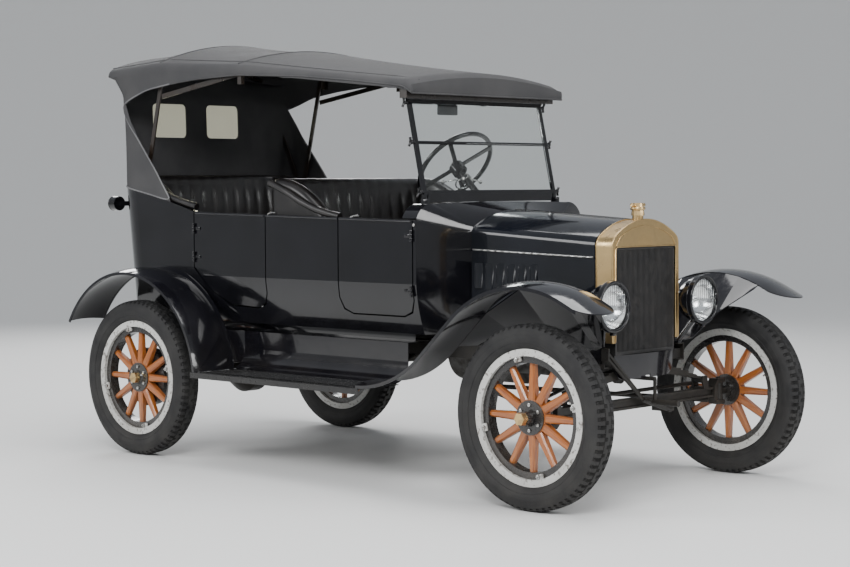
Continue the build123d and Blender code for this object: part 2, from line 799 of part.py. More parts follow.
hood_outer = hood_loft(0, hood_bottom_z, 0)
hood_inner = hood_loft(hood_sheet, hood_bottom_z - 20, 1)
hinge_rod_radius = 5
hinge_gap = 0.6
louvre_count = 6
louvre_pitch = 59
louvre_first_x = front_axle_x - 362
louvre_low = 877
louvre_high = 989
louvre_run = 22
louvre_rise = 14
with BuildPart() as hood_above:
    with BuildSketch(Plane.XZ):
        with BuildLine():
            Polyline(
                (hood_front_x + 5, hinge_front_z), (hood_rear_x - 5, hinge_rear_z),
                (hood_rear_x - 5, hood_rear_top + 50), (hood_front_x + 5, hood_rear_top + 50), close=True,
            )
        make_face()
    extrude(amount=hood_rear_half + 20, both=True)
with BuildPart() as hood_below:
    with BuildSketch(Plane.XZ):
        with BuildLine():
            Polyline(
                (hood_front_x + 5, hinge_front_z - 1), (hood_rear_x - 5, hinge_rear_z - 1),
                (hood_rear_x - 5, hood_bottom_z), (hood_front_x + 5, hood_bottom_z), close=True,
            )
        make_face()
    extrude(amount=hood_rear_half + 20, both=True)
for hand, side in (("left", 1), ("right", -1)):
    with BuildPart() as half_space:
        with BuildSketch(Plane.XY):
            with Locations((hood_rear_x - 20, side * (hinge_rod_radius + hinge_gap))):
                side_align = Align.MIN if side > 0 else Align.MAX
                Rectangle(hood_length + 40, hood_rear_half, align=(Align.MIN, side_align))
        extrude(amount=2 * hood_rear_top)
    with BuildPart() as hood_top:
        add(hood_outer)
        add(hood_inner, mode=Mode.SUBTRACT)
        add(hood_above.part, mode=Mode.INTERSECT)
        add(half_space.part, mode=Mode.INTERSECT)
    hood_top.part.label = f"hood_top_{hand}"
    export_step(hood_top.part, f"parts/hood_top_{hand}.step")
    with BuildPart() as hood_side:
        add(hood_outer)
        add(hood_inner, mode=Mode.SUBTRACT)
        add(hood_below.part, mode=Mode.INTERSECT)
        add(half_space.part, mode=Mode.INTERSECT)
        for count in range(louvre_count):
            louvre_x = louvre_first_x - count * louvre_pitch
            taper = (hood_front_x - louvre_x) / hood_length
            louvre_y = radiator_half_width + (hood_rear_half - radiator_half_width) * taper
            with BuildSketch(Plane.XY.offset(louvre_low)):
                with BuildLine():
                    root = (louvre_x + louvre_run, side * (louvre_y - hood_sheet))
                    heel = (louvre_x - louvre_run / 2, side * (louvre_y - hood_sheet / 2))
                    lip = (louvre_x - louvre_run / 2, side * (louvre_y + louvre_rise))
                    ThreePointArc(root, (louvre_x + louvre_run / 5, side * (louvre_y + louvre_rise * 0.7)), lip)
                    Polyline(lip, heel, root)
                make_face()
            extrude(amount=louvre_high - louvre_low)
    hood_side.part.label = f"hood_side_{hand}"
    export_step(hood_side.part, f"parts/hood_side_{hand}.step")

# Hinge rod along the top of the hood, and the ledges on the frame that its side panels stand on
ledge_height = hood_bottom_z - seat_gap - frame_top - seat_gap
ledge_out = 2
ledge_in = 16
rod_start = Vector(shell_rear_x - seat_gap, 0, radiator_top)
rod_end = Vector(hood_rear_x + seat_gap, 0, hood_rear_top)
with BuildPart() as hood_fittings:
    with BuildSketch(Plane(origin=rod_start, z_dir=rod_end - rod_start)):
        Circle(hinge_rod_radius)
    extrude(amount=(rod_end - rod_start).length)
    for side in (-1, 1):
        with BuildSketch(Plane.XY.offset(frame_top + seat_gap)):
            with BuildLine():
                Polyline(
                    (hood_front_x, side * (radiator_half_width + ledge_out)),
                    (hood_rear_x, side * (hood_rear_half + ledge_out)),
                    (hood_rear_x, side * (hood_rear_half - ledge_in)),
                    (hood_front_x, side * (radiator_half_width - ledge_in)), close=True,
                )
            make_face()
        extrude(amount=ledge_height)
hood_fittings.part.label = "hood_fittings"
export_step(hood_fittings.part, "parts/hood_fittings.step")

# Cowl: from the hood's rear arch it swells to the body's full width, and its top runs on under the windscreen
cowl_sheet = 12
cowl_top_z = 1262
cowl_lip_x = front_axle_x - 862
body_corner_z = 1185


def cowl_front_lines(inset):
    """The hood's rear arch carried down to the sill."""
    w = hood_rear_half - 1 - inset
    spring_z = arch_lines(w, hood_rear_top - 1 - inset)
    for side in (-1, 1):
        Line((side * w, spring_z), (side * w, side_curve_z))
        ThreePointArc((side * w, side_curve_z), (side * (w - 2), side_curve_mid + 5), (side * (w - 8), sill_z))
    Line((-w + 8, sill_z), (w - 8, sill_z))


def cowl_rear_lines(inset):
    """The body's section at the door posts, with the scuttle's flatter crown."""
    w = body_half_width - inset
    t = cowl_top_z - inset
    low = sill_half_width - inset
    ThreePointArc((-470, t - 8), (0, t), (470, t - 8))
    for side in (-1, 1):
        ThreePointArc((side * 470, t - 8), (side * (w - 28), t - 34), (side * w, body_corner_z - inset))
        Line((side * w, body_corner_z - inset), (side * w, side_curve_z))
        ThreePointArc(
            (side * w, side_curve_z), (side * (w - side_curve_in), side_curve_mid), (side * low, sill_z),
        )
    Line((-low, sill_z), (low, sill_z))


def cowl_form(inset, front_x, rear_x):
    """Loft between the two cowl sections."""
    with BuildPart() as form:
        with BuildSketch(Plane.YZ.offset(front_x)):
            with BuildLine():
                cowl_front_lines(inset)
            make_face()
        with BuildSketch(Plane.YZ.offset(rear_x)):
            with BuildLine():
                cowl_rear_lines(inset)
            make_face()
        loft(ruled=True)
    return form.part


cowl_front_x = hood_rear_x - seat_gap
cowl_outer = cowl_form(0, cowl_front_x, cowl_rear_x)
cowl_inner = cowl_form(cowl_sheet, cowl_front_x, cowl_rear_x)
with BuildPart() as cowl:
    add(cowl_outer)
    with BuildSketch(Plane.YZ.offset(cowl_rear_x)):
        with BuildLine():
            cowl_rear_lines(0)
        make_face()
        with BuildLine():
            cowl_rear_lines(cowl_sheet)
        make_face(mode=Mode.SUBTRACT)
        with Locations((0, body_corner_z + door_gap - 400)):
            Rectangle(4 * body_half_width, 2 * 400, mode=Mode.SUBTRACT)
    extrude(amount=cowl_lip_x - cowl_rear_x)
    add(cowl_inner, mode=Mode.SUBTRACT)
    with BuildSketch(Plane.XY.offset(sill_z)):
        with Locations(((cowl_front_x + cowl_rear_x) / 2, 0)):
            Rectangle(cowl_front_x - cowl_rear_x - 2 * cowl_sheet, 2 * (hood_rear_half - 2 * cowl_sheet))
    extrude(amount=cowl_sheet, mode=Mode.SUBTRACT)
cowl.part.label = "cowl"
export_step(cowl.part, "parts/cowl.step")

# Dash: the board between engine and cabin, with a hole for the steering column
dash_thickness = 12
dash_fit = cowl_form(cowl_sheet + seat_gap, cowl_front_x, cowl_rear_x)
with BuildPart() as dash:
    add(dash_fit)
    with BuildSketch(Plane.YZ.offset(cowl_front_x - dash_thickness)):
        Rectangle(4 * body_half_width, 4 * body_half_width)
    extrude(amount=dash_thickness, mode=Mode.INTERSECT)
    with BuildSketch(column_plane):
        Circle(column_radius + 4)
    extrude(amount=column_length, mode=Mode.SUBTRACT)
dash.part.label = "dash"
export_step(dash.part, "parts/dash.step")


# Body: a plan outline that tapers towards the sill, met by the section across the car
tail_slope = 80
form_top_z = 1500


def plan_lines(tail, front_x, w, radius):
    """Half-round-cornered plan outline in X and Y."""
    cut = radius * (1 - cos(radians(45)))
    Polyline((tail + radius, -w), (front_x, -w), (front_x, w), (tail + radius, w))
    ThreePointArc((tail + radius, w), (tail + cut, w - cut), (tail, w - radius))
    Line((tail, w - radius), (tail, -w + radius))
    ThreePointArc((tail, -w + radius), (tail + cut, -w + cut), (tail + radius, -w))


def body_form(inset, front_x):
    """The body's closed form, shrunk by the wall, from front_x to the sloping tail."""
    w = body_half_width - inset
    radius = body_corner_radius - inset
    low_half = sill_half_width - inset
    slope = tail_slope / (rail_corner_z - sill_z)
    with BuildPart() as form:
        for z in (sill_z, form_top_z):
            with BuildSketch(Plane.XY.offset(z)):
                with BuildLine():
                    plan_lines(body_rear_x + inset + slope * (rail_corner_z - z), front_x, w, radius)
                make_face()
        loft(ruled=True)
        with BuildSketch(Plane.YZ.offset(body_rear_x - 60)):
            with BuildLine():
                Line((-w - 1, form_top_z + 1), (w + 1, form_top_z + 1))
                Line((-low_half, sill_z), (low_half, sill_z))
                for side in (-1, 1):
                    Line((side * (w + 1), form_top_z + 1), (side * (w + 1), side_curve_z + 20))
                    Line((side * (w + 1), side_curve_z + 20), (side * w, side_curve_z))
                    ThreePointArc(
                        (side * w, side_curve_z), (side * (w - side_curve_in), side_curve_mid),
                        (side * low_half, sill_z),
                    )
            make_face()
        extrude(amount=front_x - body_rear_x + 80, mode=Mode.INTERSECT)
    return form.part


def rail_profile(top_lift):
    """Side view of the body in X and Z: the rail's top line and the sloping tail."""
    rise_x = rear_door_rear
    Line((cowl_rear_x + 1, sill_z - 1), (cowl_rear_x + 1, rail_front_z + top_lift))
    Line((cowl_rear_x + 1, rail_front_z + top_lift), (rise_x, rail_rear_z + top_lift))
    ThreePointArc(
        (rise_x, rail_rear_z + top_lift), (rise_x - 320, rail_rear_z + 78 + top_lift),
        (body_rear_x - 1, rail_corner_z + top_lift),
    )
    Line((body_rear_x - 1, rail_corner_z + top_lift), (body_rear_x - 1, sill_z - 1))
    Line((body_rear_x - 1, sill_z - 1), (cowl_rear_x + 1, sill_z - 1))


def rounded_door(front, rear, low, high, gap, cut):
    """Door outline in X and Z; cut is the height of the slanted lower rear corner over the fender."""
    r = door_corner_radius
    if cut:
        Polyline(
            (front + gap, high), (front + gap, low + r), (front + gap - r * 0.3, low + r * 0.3 - gap),
            (front - r, low - gap), (rear + 250, low + 6 - gap), (rear + 118, low + 70 - gap),
            (rear - gap, low + cut - gap), (rear - gap, high), close=True,
        )
    else:
        Polyline(
            (front + gap, high), (front + gap, low + r), (front + gap - r * 0.3, low + r * 0.3 - gap),
            (front - r, low - gap), (rear + r, low - gap), (rear - gap + r * 0.3, low + r * 0.3 - gap),
            (rear - gap, low + r), (rear - gap, high), close=True,
        )


body_outer = body_form(0, cowl_rear_x - seat_gap)
body_inner = body_form(wall, cowl_rear_x + 60)
seat_space = body_form(wall + seat_gap, cowl_rear_x)
# columns: name, front edge, rear edge, height of the cut corner, side (+1 is left)
doors = [
    ("door_front_right", front_door_front, front_door_rear, 0, -1),
    ("door_rear_right", rear_door_front, rear_door_rear, 185, -1),
    ("door_rear_left", rear_door_front, rear_door_rear, 185, 1),
]
with BuildPart() as body_side_view:
    with BuildSketch(Plane.XZ):
        with BuildLine():
            rail_profile(0)
        make_face()
    extrude(amount=body_half_width + 50, both=True)
with BuildPart() as body_tub:
    add(body_outer)
    add(body_inner, mode=Mode.SUBTRACT)
    add(body_side_view.part, mode=Mode.INTERSECT)
    for name, front, rear, cut, side in doors:
        with BuildSketch(Plane.XZ.offset(-side * (body_half_width - 120))):
            with BuildLine():
                rounded_door(front, rear, door_bottom_z, 1500, door_gap, cut)
            make_face()
        extrude(amount=-side * 200, mode=Mode.SUBTRACT)
body_tub.part.label = "body_tub"
export_step(body_tub.part, "parts/body_tub.step")

for name, front, rear, cut, side in doors:
    with BuildPart() as door:
        add(body_outer)
        add(body_inner, mode=Mode.SUBTRACT)
        add(body_side_view.part, mode=Mode.INTERSECT)
        with BuildSketch(Plane.XZ.offset(-side * (body_half_width - 120))):
            with BuildLine():
                rounded_door(front, rear, door_bottom_z, 1500, 0, cut)
            make_face()
        extrude(amount=-side * 200, mode=Mode.INTERSECT)
    door.part.label = name
    export_step(door.part, f"parts/{name}.step")

# Floor: boards on three sills that cross the frame, with a sloping toe board at the front
floor_z = sill_z + 4
floor_thickness = 14
floor_half = sill_half_width - wall - 2
floor_front_x = front_axle_x - 960
floor_rear_x = body_rear_x + 90 + wall
sill_width = 50
toe_top_x = cowl_front_x - dash_thickness - 6
toe_top_z = 860
toe_half = 285
with BuildPart() as floor:
    with BuildSketch(Plane.XY.offset(floor_z)):
        with Locations(((floor_front_x + floor_rear_x) / 2, 0)):
            Rectangle(floor_front_x - floor_rear_x, 2 * floor_half)
    extrude(amount=floor_thickness)
    with BuildSketch(Plane.XY.offset(frame_top + seat_gap)):
        for cross_x in (floor_front_x - sill_width, (floor_front_x + rear_axle_x) / 2, rear_axle_x + 20):
            with Locations((cross_x, 0)):
                Rectangle(sill_width, 2 * floor_half)
    extrude(amount=floor_z - frame_top - seat_gap)
    with BuildSketch(Plane.XZ):
        with BuildLine():
            Polyline(
                (floor_front_x, floor_z), (toe_top_x, toe_top_z - floor_thickness),
                (toe_top_x, toe_top_z), (floor_front_x, floor_z + floor_thickness), close=True,
            )
        make_face()
    extrude(amount=toe_half, both=True)
    with BuildSketch(column_plane):
        Circle(column_radius + 4)
    extrude(amount=column_length, mode=Mode.SUBTRACT)
    add(seat_space, mode=Mode.INTERSECT)
floor.part.label = "floor"
export_step(floor.part, "parts/floor.step")

# Seats: boxed risers, crowned cushions, and backs that wrap round to the arms
front_seat_front = front_axle_x - 1330
front_seat_rear = front_axle_x - 1790
rear_seat_front = rear_axle_x + 190
rear_seat_rear = rear_axle_x - 300
cushion_low = 985
cushion_high = 1105
seat_half = body_half_width - wall - 12
box_wall = 18
# columns: front edge, rear edge, top of the back
seats = [
    (front_seat_front, front_seat_rear, 1372),
    (rear_seat_front, rear_seat_rear, 1395),
]
with BuildPart() as seat_boxes:
    for front, rear, top in seats:
        with BuildSketch(Plane.XY.offset(floor_z + floor_thickness + seat_gap)):
            with Locations(((front - 20 + rear) / 2, 0)):
                Rectangle(front - 20 - rear, 2 * floor_half)
                Rectangle(front - 20 - rear - 2 * box_wall, 2 * (floor_half - box_wall), mode=Mode.SUBTRACT)
        extrude(amount=cushion_low - floor_z - floor_thickness - 2 * seat_gap)
    add(seat_space, mode=Mode.INTERSECT)
seat_boxes.part.label = "seat_boxes"
export_step(seat_boxes.part, "parts/seat_boxes.step")

with BuildPart() as seat_cushions:
    for front, rear, top in seats:
        with BuildSketch(Plane.XY.offset(cushion_low)):
            with Locations(((front + rear) / 2, 0)):
                RectangleRounded(front - rear, 2 * seat_half, 40)
        extrude(amount=cushion_high - cushion_low)
    fillet(seat_cushions.faces().group_by(Axis.Z)[-1].edges(), 25)
    add(seat_space, mode=Mode.INTERSECT)
seat_cushions.part.label = "seat_cushions"
export_step(seat_cushions.part, "parts/seat_cushions.step")

back_thickness = 110
arm_thickness = 75
arm_length = 430
with BuildPart() as seat_backs:
    for front, rear, top in seats:
        with BuildSketch(Plane.XY.offset(cushion_high + seat_gap)):
            with Locations((rear - 20, 0)):
                Rectangle(arm_length, 2 * seat_half, align=(Align.MIN, Align.CENTER))
            with Locations((rear - 20 + back_thickness, 0)):
                Rectangle(
                    arm_length, 2 * (seat_half - arm_thickness), align=(Align.MIN, Align.CENTER), mode=Mode.SUBTRACT,
                )
        extrude(amount=top - cushion_high)
        with BuildSketch(Plane.XZ):
            with BuildLine():
                ThreePointArc(
                    (rear + back_thickness, top), (rear + 260, top - 50),
                    (rear - 20 + arm_length, cushion_high + 60)
                )
                Polyline(
                    (rear - 20 + arm_length, cushion_high + 60), (rear + arm_length + 40, cushion_high + 60),
                    (rear + arm_length + 40, top + 50), (rear - 20 + back_thickness + 20, top + 50),
                    (rear - 20 + back_thickness + 20, top),
                )
            make_face()
        extrude(amount=seat_half + 10, both=True, mode=Mode.SUBTRACT)
    add(seat_space, mode=Mode.INTERSECT)
seat_backs.part.label = "seat_backs"
export_step(seat_backs.part, "parts/seat_backs.step")

# Windscreen: a raked frame of bars with two panes, standing on the scuttle
screen_plane = Plane(
    origin=(screen_foot_x, 0, screen_foot_z), x_dir=(0, 1, 0),
    z_dir=(cos(radians(screen_rake)), 0, sin(radians(screen_rake))),
)
divider_at = 244
divider_bar = 8
pane_half = screen_half_width - screen_bar
with BuildPart() as windscreen_frame:
    with BuildSketch(screen_plane.offset(-screen_depth / 2)):
        Rectangle(2 * screen_half_width, screen_height, align=(Align.CENTER, Align.MIN))
        with Locations((0, screen_bar)):
            Rectangle(
                2 * pane_half, screen_height - 2 * screen_bar, align=(Align.CENTER, Align.MIN), mode=Mode.SUBTRACT,
            )
        with Locations((0, divider_at)):
            Rectangle(2 * pane_half, divider_bar)
    extrude(amount=screen_depth)
    with BuildSketch(Plane.XY.offset(cowl_top_z + seat_gap)):
        with Locations((screen_foot_x, 0)):
            Rectangle(screen_depth, 2 * 440)
    extrude(amount=screen_foot_z + 8 - cowl_top_z)
    with BuildSketch(Plane.YZ.offset(screen_foot_x - screen_depth / 2)):
        for side in (-1, 1):
            with BuildLine():
                Polyline(
                    (side * (screen_half_width - screen_bar), screen_foot_z + 10),
                    (side * screen_half_width, screen_foot_z + 10), (side * (screen_half_width + 3), cowl_top_z - 7),
                    (side * (screen_half_width - screen_bar), cowl_top_z - 5),
                    close=True,
                )
            make_face()
    extrude(amount=screen_depth)
windscreen_frame.part.label = "windscreen_frame"
export_step(windscreen_frame.part, "parts/windscreen_frame.step")

with BuildPart() as windscreen_glass:
    with BuildSketch(screen_plane.offset(-glass_thickness / 2)):
        for low, high in (
            (screen_bar + seat_gap, divider_at - divider_bar / 2 - seat_gap),
            (divider_at + divider_bar / 2 + seat_gap, screen_height - screen_bar - seat_gap),
        ):
            with Locations((0, low)):
                Rectangle(2 * (pane_half - seat_gap), high - low, align=(Align.CENTER, Align.MIN))
    extrude(amount=glass_thickness)
windscreen_glass.part.label = "windscreen_glass"
export_step(windscreen_glass.part, "parts/windscreen_glass.step")

# Canvas top: a roof lofted over its bows, met by a plan outline whose tail rakes out above the body
# columns: distance behind the front axle, half-width, height of the edge, height of the crown
roof_sections = [
    (850, 530, 1786, 1832),
    (885, 532, 1806, 1856),
    (1970, 576, 1918, 2008),
    (2545, 585, 1950, 2068),
    (3010, 585, 1925, 2032),
    (3060, 585, 1900, 1985),
]
# columns: height, distance of the tail behind the front axle, corner radius
tail_sections = [
    (1150, 2918, 200),
    (1346, 2935, 200),
    (1800, 2950, 190),
    (1960, 3045, 150),
    (2100, 3045, 150),
]
shoulder_radius = 46


def roof_lines(half_width, edge, crown, low, inset):
    """Roof section in Y and Z: upright sides, rounded shoulders and a crowned top."""
    w = half_width - inset
    e = edge - inset
    c = crown - inset
    r = shoulder_radius - inset
    Line((-w, low), (w, low))
    for side in (-1, 1):
        Line((side * w, low), (side * w, e - r))
        ThreePointArc((side * w, e - r), (side * (w - 0.28 * r), e - 0.28 * r), (side * (w - r), e + 6))
    ThreePointArc((-w + r, e + 6), (0, c), (w - r, e + 6))


def canopy_form(inset, front_trim):
    """The canvas's closed form, shrunk by the cloth."""
    with BuildPart() as roof:
        for behind, half_width, edge, crown in roof_sections:
            x = front_axle_x - behind - (front_trim if behind == roof_sections[0][0] else 0)
            with BuildSketch(Plane.YZ.offset(x)):
                with BuildLine():
                    roof_lines(half_width, edge, crown, 1100, inset)
                make_face()
        loft(ruled=True)
    with BuildPart() as plan:
        for z, behind, radius in tail_sections:
            with BuildSketch(Plane.XY.offset(z)):
                with BuildLine():
                    plan_lines(
                        front_axle_x - behind + inset, canopy_front_x + 60, body_half_width - inset, radius - inset,
                    )
                make_face()
        loft(ruled=True)
    with BuildPart() as form:
        add(roof.part)
        add(plan.part, mode=Mode.INTERSECT)
    return form.part


# Lower edge of the cloth along the side, as (distance behind the front axle, height), then down the quarter
cloth_edge = [
    (700, 1742), (856, 1742), (900, 1776), (1207, 1813), (1537, 1845), (1957, 1868), (2252, 1860),
    (2443, 1845),
    (2641, 1820), (2872, 1744), (2725, 1592), (2569, 1410), (2440, 1238), (2440, 1050), (700, 1050),
]
window_y = 185
window_width = 225
window_height = 178
window_z = 1686
canopy_outer = canopy_form(0, 0)
canopy_inner = canopy_form(canopy_cloth, canopy_cloth)
with BuildPart() as canopy_cut:
    with BuildSketch(Plane.XZ):
        with BuildLine():
            Polyline([(front_axle_x - behind, z) for behind, z in cloth_edge], close=True)
        make_face()
    extrude(amount=body_half_width + 60, both=True)
with BuildPart() as under_rail:
    with BuildSketch(Plane.XZ):
        with BuildLine():
            rail_profile(seat_gap)
        make_face()
    extrude(amount=body_half_width + 60, both=True)
with BuildPart() as canopy:
    add(canopy_outer)
    add(canopy_inner, mode=Mode.SUBTRACT)
    add(canopy_cut.part, mode=Mode.SUBTRACT)
    add(under_rail.part, mode=Mode.SUBTRACT)
    with BuildSketch(Plane.YZ.offset(body_rear_x - 60)):
        with Locations((window_y, window_z), (-window_y, window_z)):
            RectangleRounded(window_width, window_height, 24)
    extrude(amount=160, mode=Mode.SUBTRACT)
    with BuildSketch(Plane.XY.offset(1000)):
        with Locations((front_axle_x - 2200, 0)):
            Rectangle(1700, 1500)
    extrude(amount=rail_rear_z - 1000, mode=Mode.SUBTRACT)
canopy.part.label = "canopy"
export_step(canopy.part, "parts/canopy.step")

# Celluloid windows in the rear curtain
pane_outer = canopy_form(2, canopy_cloth)
pane_inner = canopy_form(4, canopy_cloth)
with BuildPart() as rear_windows:
    add(pane_outer)
    add(pane_inner, mode=Mode.SUBTRACT)
    with BuildSketch(Plane.YZ.offset(body_rear_x - 60)):
        with Locations((window_y, window_z), (-window_y, window_z)):
            RectangleRounded(window_width - 2 * seat_gap, window_height - 2 * seat_gap, 24 - seat_gap)
    extrude(amount=160, mode=Mode.INTERSECT)
rear_windows.part.label = "rear_windows"
export_step(rear_windows.part, "parts/rear_windows.step")

# Bows: bent wooden bows under the cloth, on flat irons that pivot on the body sides
bow_inset = canopy_cloth + seat_gap
iron_thickness = 8
iron_width = 24
iron_y = body_half_width - wall - seat_gap - iron_thickness
pivot_x = front_axle_x - 2700
pivot_z = 1288


def iron_bar(start, end):
    """Outline of a straight flat iron in X and Z, between two points."""
    run = Vector(end[0] - start[0], end[1] - start[1])
    side = Vector(-run.Y, run.X) * (iron_width / 2 / run.length)
    Polyline(
        (start[0] + side.X, start[1] + side.Y), (end[0] + side.X, end[1] + side.Y),
        (end[0] - side.X, end[1] - side.Y), (start[0] - side.X, start[1] - side.Y), close=True,
    )


bow_space = canopy_form(bow_inset, bow_inset)
# columns: distance behind the front axle, half-width, edge, crown (the roof's own sections)
bow_sections = [roof_sections[2], roof_sections[3], roof_sections[4]]
front_bow_x = front_axle_x - roof_sections[2][0]
main_bow_x = front_axle_x - roof_sections[3][0]
rear_bow_x = front_axle_x - roof_sections[4][0] + bow_width
irons = [
    ((pivot_x, pivot_z), (main_bow_x, 1925)),
    ((pivot_x, pivot_z), (rear_bow_x - 4, 1880)),
    ((main_bow_x - 8, 1790), (front_bow_x, 1880)),
]
with BuildPart() as top_bows:
    for behind, half_width, edge, crown in bow_sections:
        x = front_axle_x - behind
        with BuildSketch(Plane.YZ.offset(x)):
            with BuildLine():
                roof_lines(half_width, edge, crown, edge - 90, bow_inset + 5)
            make_face()
            with BuildLine():
                roof_lines(half_width, edge, crown, edge - 91, bow_inset + 5 + bow_depth)
            make_face(mode=Mode.SUBTRACT)
        extrude(amount=bow_width)
    for start, end in irons:
        for side in (-1, 1):
            with BuildSketch(Plane.XZ.offset(-side * iron_y)):
                with BuildLine():
                    iron_bar(start, end)
                make_face()
            extrude(amount=-side * iron_thickness)
    with BuildSketch(Plane.XY.offset(screen_foot_z + screen_height * cos(radians(screen_rake)) + 2)):
        with Locations((header_x, 0)):
            Rectangle(44, 2 * (roof_sections[0][1] - 14))
    extrude(amount=40)
    add(bow_space, mode=Mode.INTERSECT)
top_bows.part.label = "top_bows"
export_step(top_bows.part, "parts/top_bows.step")

# Fenders: a crowned section swept along the rim line seen from the side
fender_lip = 14
front_arc_radius = 527
front_arc_start = 64
front_arc_end = 133.5
front_tip_run = 152
rear_arc_radius = 515
rear_arc_end = 150


def arc_point(centre_x, centre_z, radius, angle):
    """Point on a circle in X and Z, the angle measured up from +X."""
    return (centre_x + radius * cos(radians(angle)), centre_z + radius * sin(radians(angle)))


def front_rim_points(rise):
    """Points of the front fender's rim line, moved out by rise: foot, sweep, straight, arch, tip."""
    a = radians(front_arc_end)
    start_x, start_z = arc_point(front_axle_x, axle_z, front_arc_radius, front_arc_end)
    run_x = start_x - board_front_x
    run_z = start_z - board_top
    sweep = (run_z * sin(a) + run_x * cos(a)) / (sin(a) - 1)
    straight = (run_x + sweep * cos(a)) / sin(a)
    bend_x = start_x - straight * sin(a)
    bend_z = start_z + straight * cos(a)
    centre_x = bend_x + sweep * cos(a)
    centre_z = bend_z + sweep * sin(a)
    radius = front_arc_radius + rise
    first = arc_point(front_axle_x, axle_z, radius, front_arc_start)
    t = radians(front_arc_start)
    return [
        arc_point(centre_x, centre_z, sweep - rise, 270),
        arc_point(centre_x, centre_z, sweep - rise, (270 + front_arc_end + 180) / 2),
        arc_point(centre_x, centre_z, sweep - rise, front_arc_end + 180),
        arc_point(front_axle_x, axle_z, radius, front_arc_end),
        arc_point(front_axle_x, axle_z, radius, (front_arc_start + front_arc_end) / 2),
        first,
        (first[0] + front_tip_run * sin(t), first[1] - front_tip_run * cos(t)),
    ]


def front_rim_lines(rise):
    """The rim line of a front fender from its foot to its tip."""
    foot, sweep_mid, bend, start, mid, first, tip = front_rim_points(rise)
    ThreePointArc(foot, sweep_mid, bend)
    Line(bend, start)
    ThreePointArc(start, mid, first)
    Line(first, tip)


def fender_section(side):
    """Crowned sheet section in Y and Z above the rim: outer skin, inner skin and a lip."""
    outer = side * fender_half_width
    inner = side * fender_inner
    middle = (outer + inner) / 2
    skin = side * fender_sheet
    Line((outer, 0), (outer, fender_lip))
    ThreePointArc((outer, fender_lip), (middle, fender_crown + 4), (inner, fender_crown - 8))
    Line((inner, fender_crown - 8), (inner, fender_crown - 8 - fender_sheet))
    ThreePointArc(
        (inner, fender_crown - 8 - fender_sheet), (middle, fender_crown + 4 - fender_sheet),
        (outer - skin, fender_lip - 2),
    )
    Line((outer - skin, fender_lip - 2), (outer - skin, 0))
    Line((outer - skin, 0), (outer, 0))


nose_round = 90
fender_middle = (fender_half_width + fender_inner) / 2
fender_far = fender_half_width + 1
nose_x = front_axle_x + front_reach
flange_low = 16
flange_high = 42
with BuildPart() as fenders:
    for side in (-1, 1):
        with BuildLine(Plane.XZ) as rim_line:
            front_rim_lines(0)
        with BuildSketch(Plane(origin=(board_front_x, 0, board_top), x_dir=(0, 1, 0), z_dir=(1, 0, 0))):
            with BuildLine():
                fender_section(side)
            make_face()
        sweep(path=rim_line.wire())
    with BuildSketch(Plane.XY):
        with BuildLine():
            Line((board_front_x - 1, fender_far), (board_front_x - 1, -fender_far))
            Line((nose_x - nose_round, fender_inner), (nose_x - nose_round, -fender_inner))
            for side in (-1, 1):
                Line((board_front_x - 1, side * fender_far), (nose_x - nose_round, side * fender_far))
                ThreePointArc(
                    (nose_x - nose_round, side * fender_far), (nose_x, side * fender_middle),
                    (nose_x - nose_round, side * fender_inner),
                )
        make_face()
    extrude(amount=2 * axle_z + 400, mode=Mode.INTERSECT)
    rear_drop = board_top - axle_z
    rear_start = degrees(atan2(rear_drop, sqrt(rear_arc_radius ** 2 - rear_drop ** 2)))
    rear_foot = arc_point(rear_axle_x, axle_z, rear_arc_radius, rear_start)
    rear_mid = arc_point(rear_axle_x, axle_z, rear_arc_radius, (rear_start + rear_arc_end) / 2)
    rear_tip = arc_point(rear_axle_x, axle_z, rear_arc_radius, rear_arc_end)
    for side in (-1, 1):
        with BuildLine(Plane.XZ) as rear_rim_line:
            ThreePointArc(rear_foot, rear_mid, rear_tip)
        rear_normal = (-sin(radians(rear_start)), 0, cos(radians(rear_start)))
        with BuildSketch(Plane(origin=(rear_foot[0], 0, rear_foot[1]), x_dir=(0, -1, 0), z_dir=rear_normal)):
            with BuildLine():
                fender_section(side)
            make_face()
            with Locations((side * (body_half_width + seat_gap), flange_low)):
                edge_align = Align.MIN if side > 0 else Align.MAX
                flange_reach = fender_inner + 2 - body_half_width
                Rectangle(flange_reach, flange_high - flange_low, align=(edge_align, Align.MIN))
        sweep(path=rear_rim_line.wire())
fenders.part.label = "fenders"
export_step(fenders.part, "parts/fenders.step")

# Aprons: sheets from each front fender's inner edge to the rail, and from the rail to the running board
apron_radius = front_arc_radius + fender_crown - 10
apron_outer = fender_inner - seat_gap
apron_thickness = 5
rail_side = frame_half_width + seat_gap
foot_z = 637
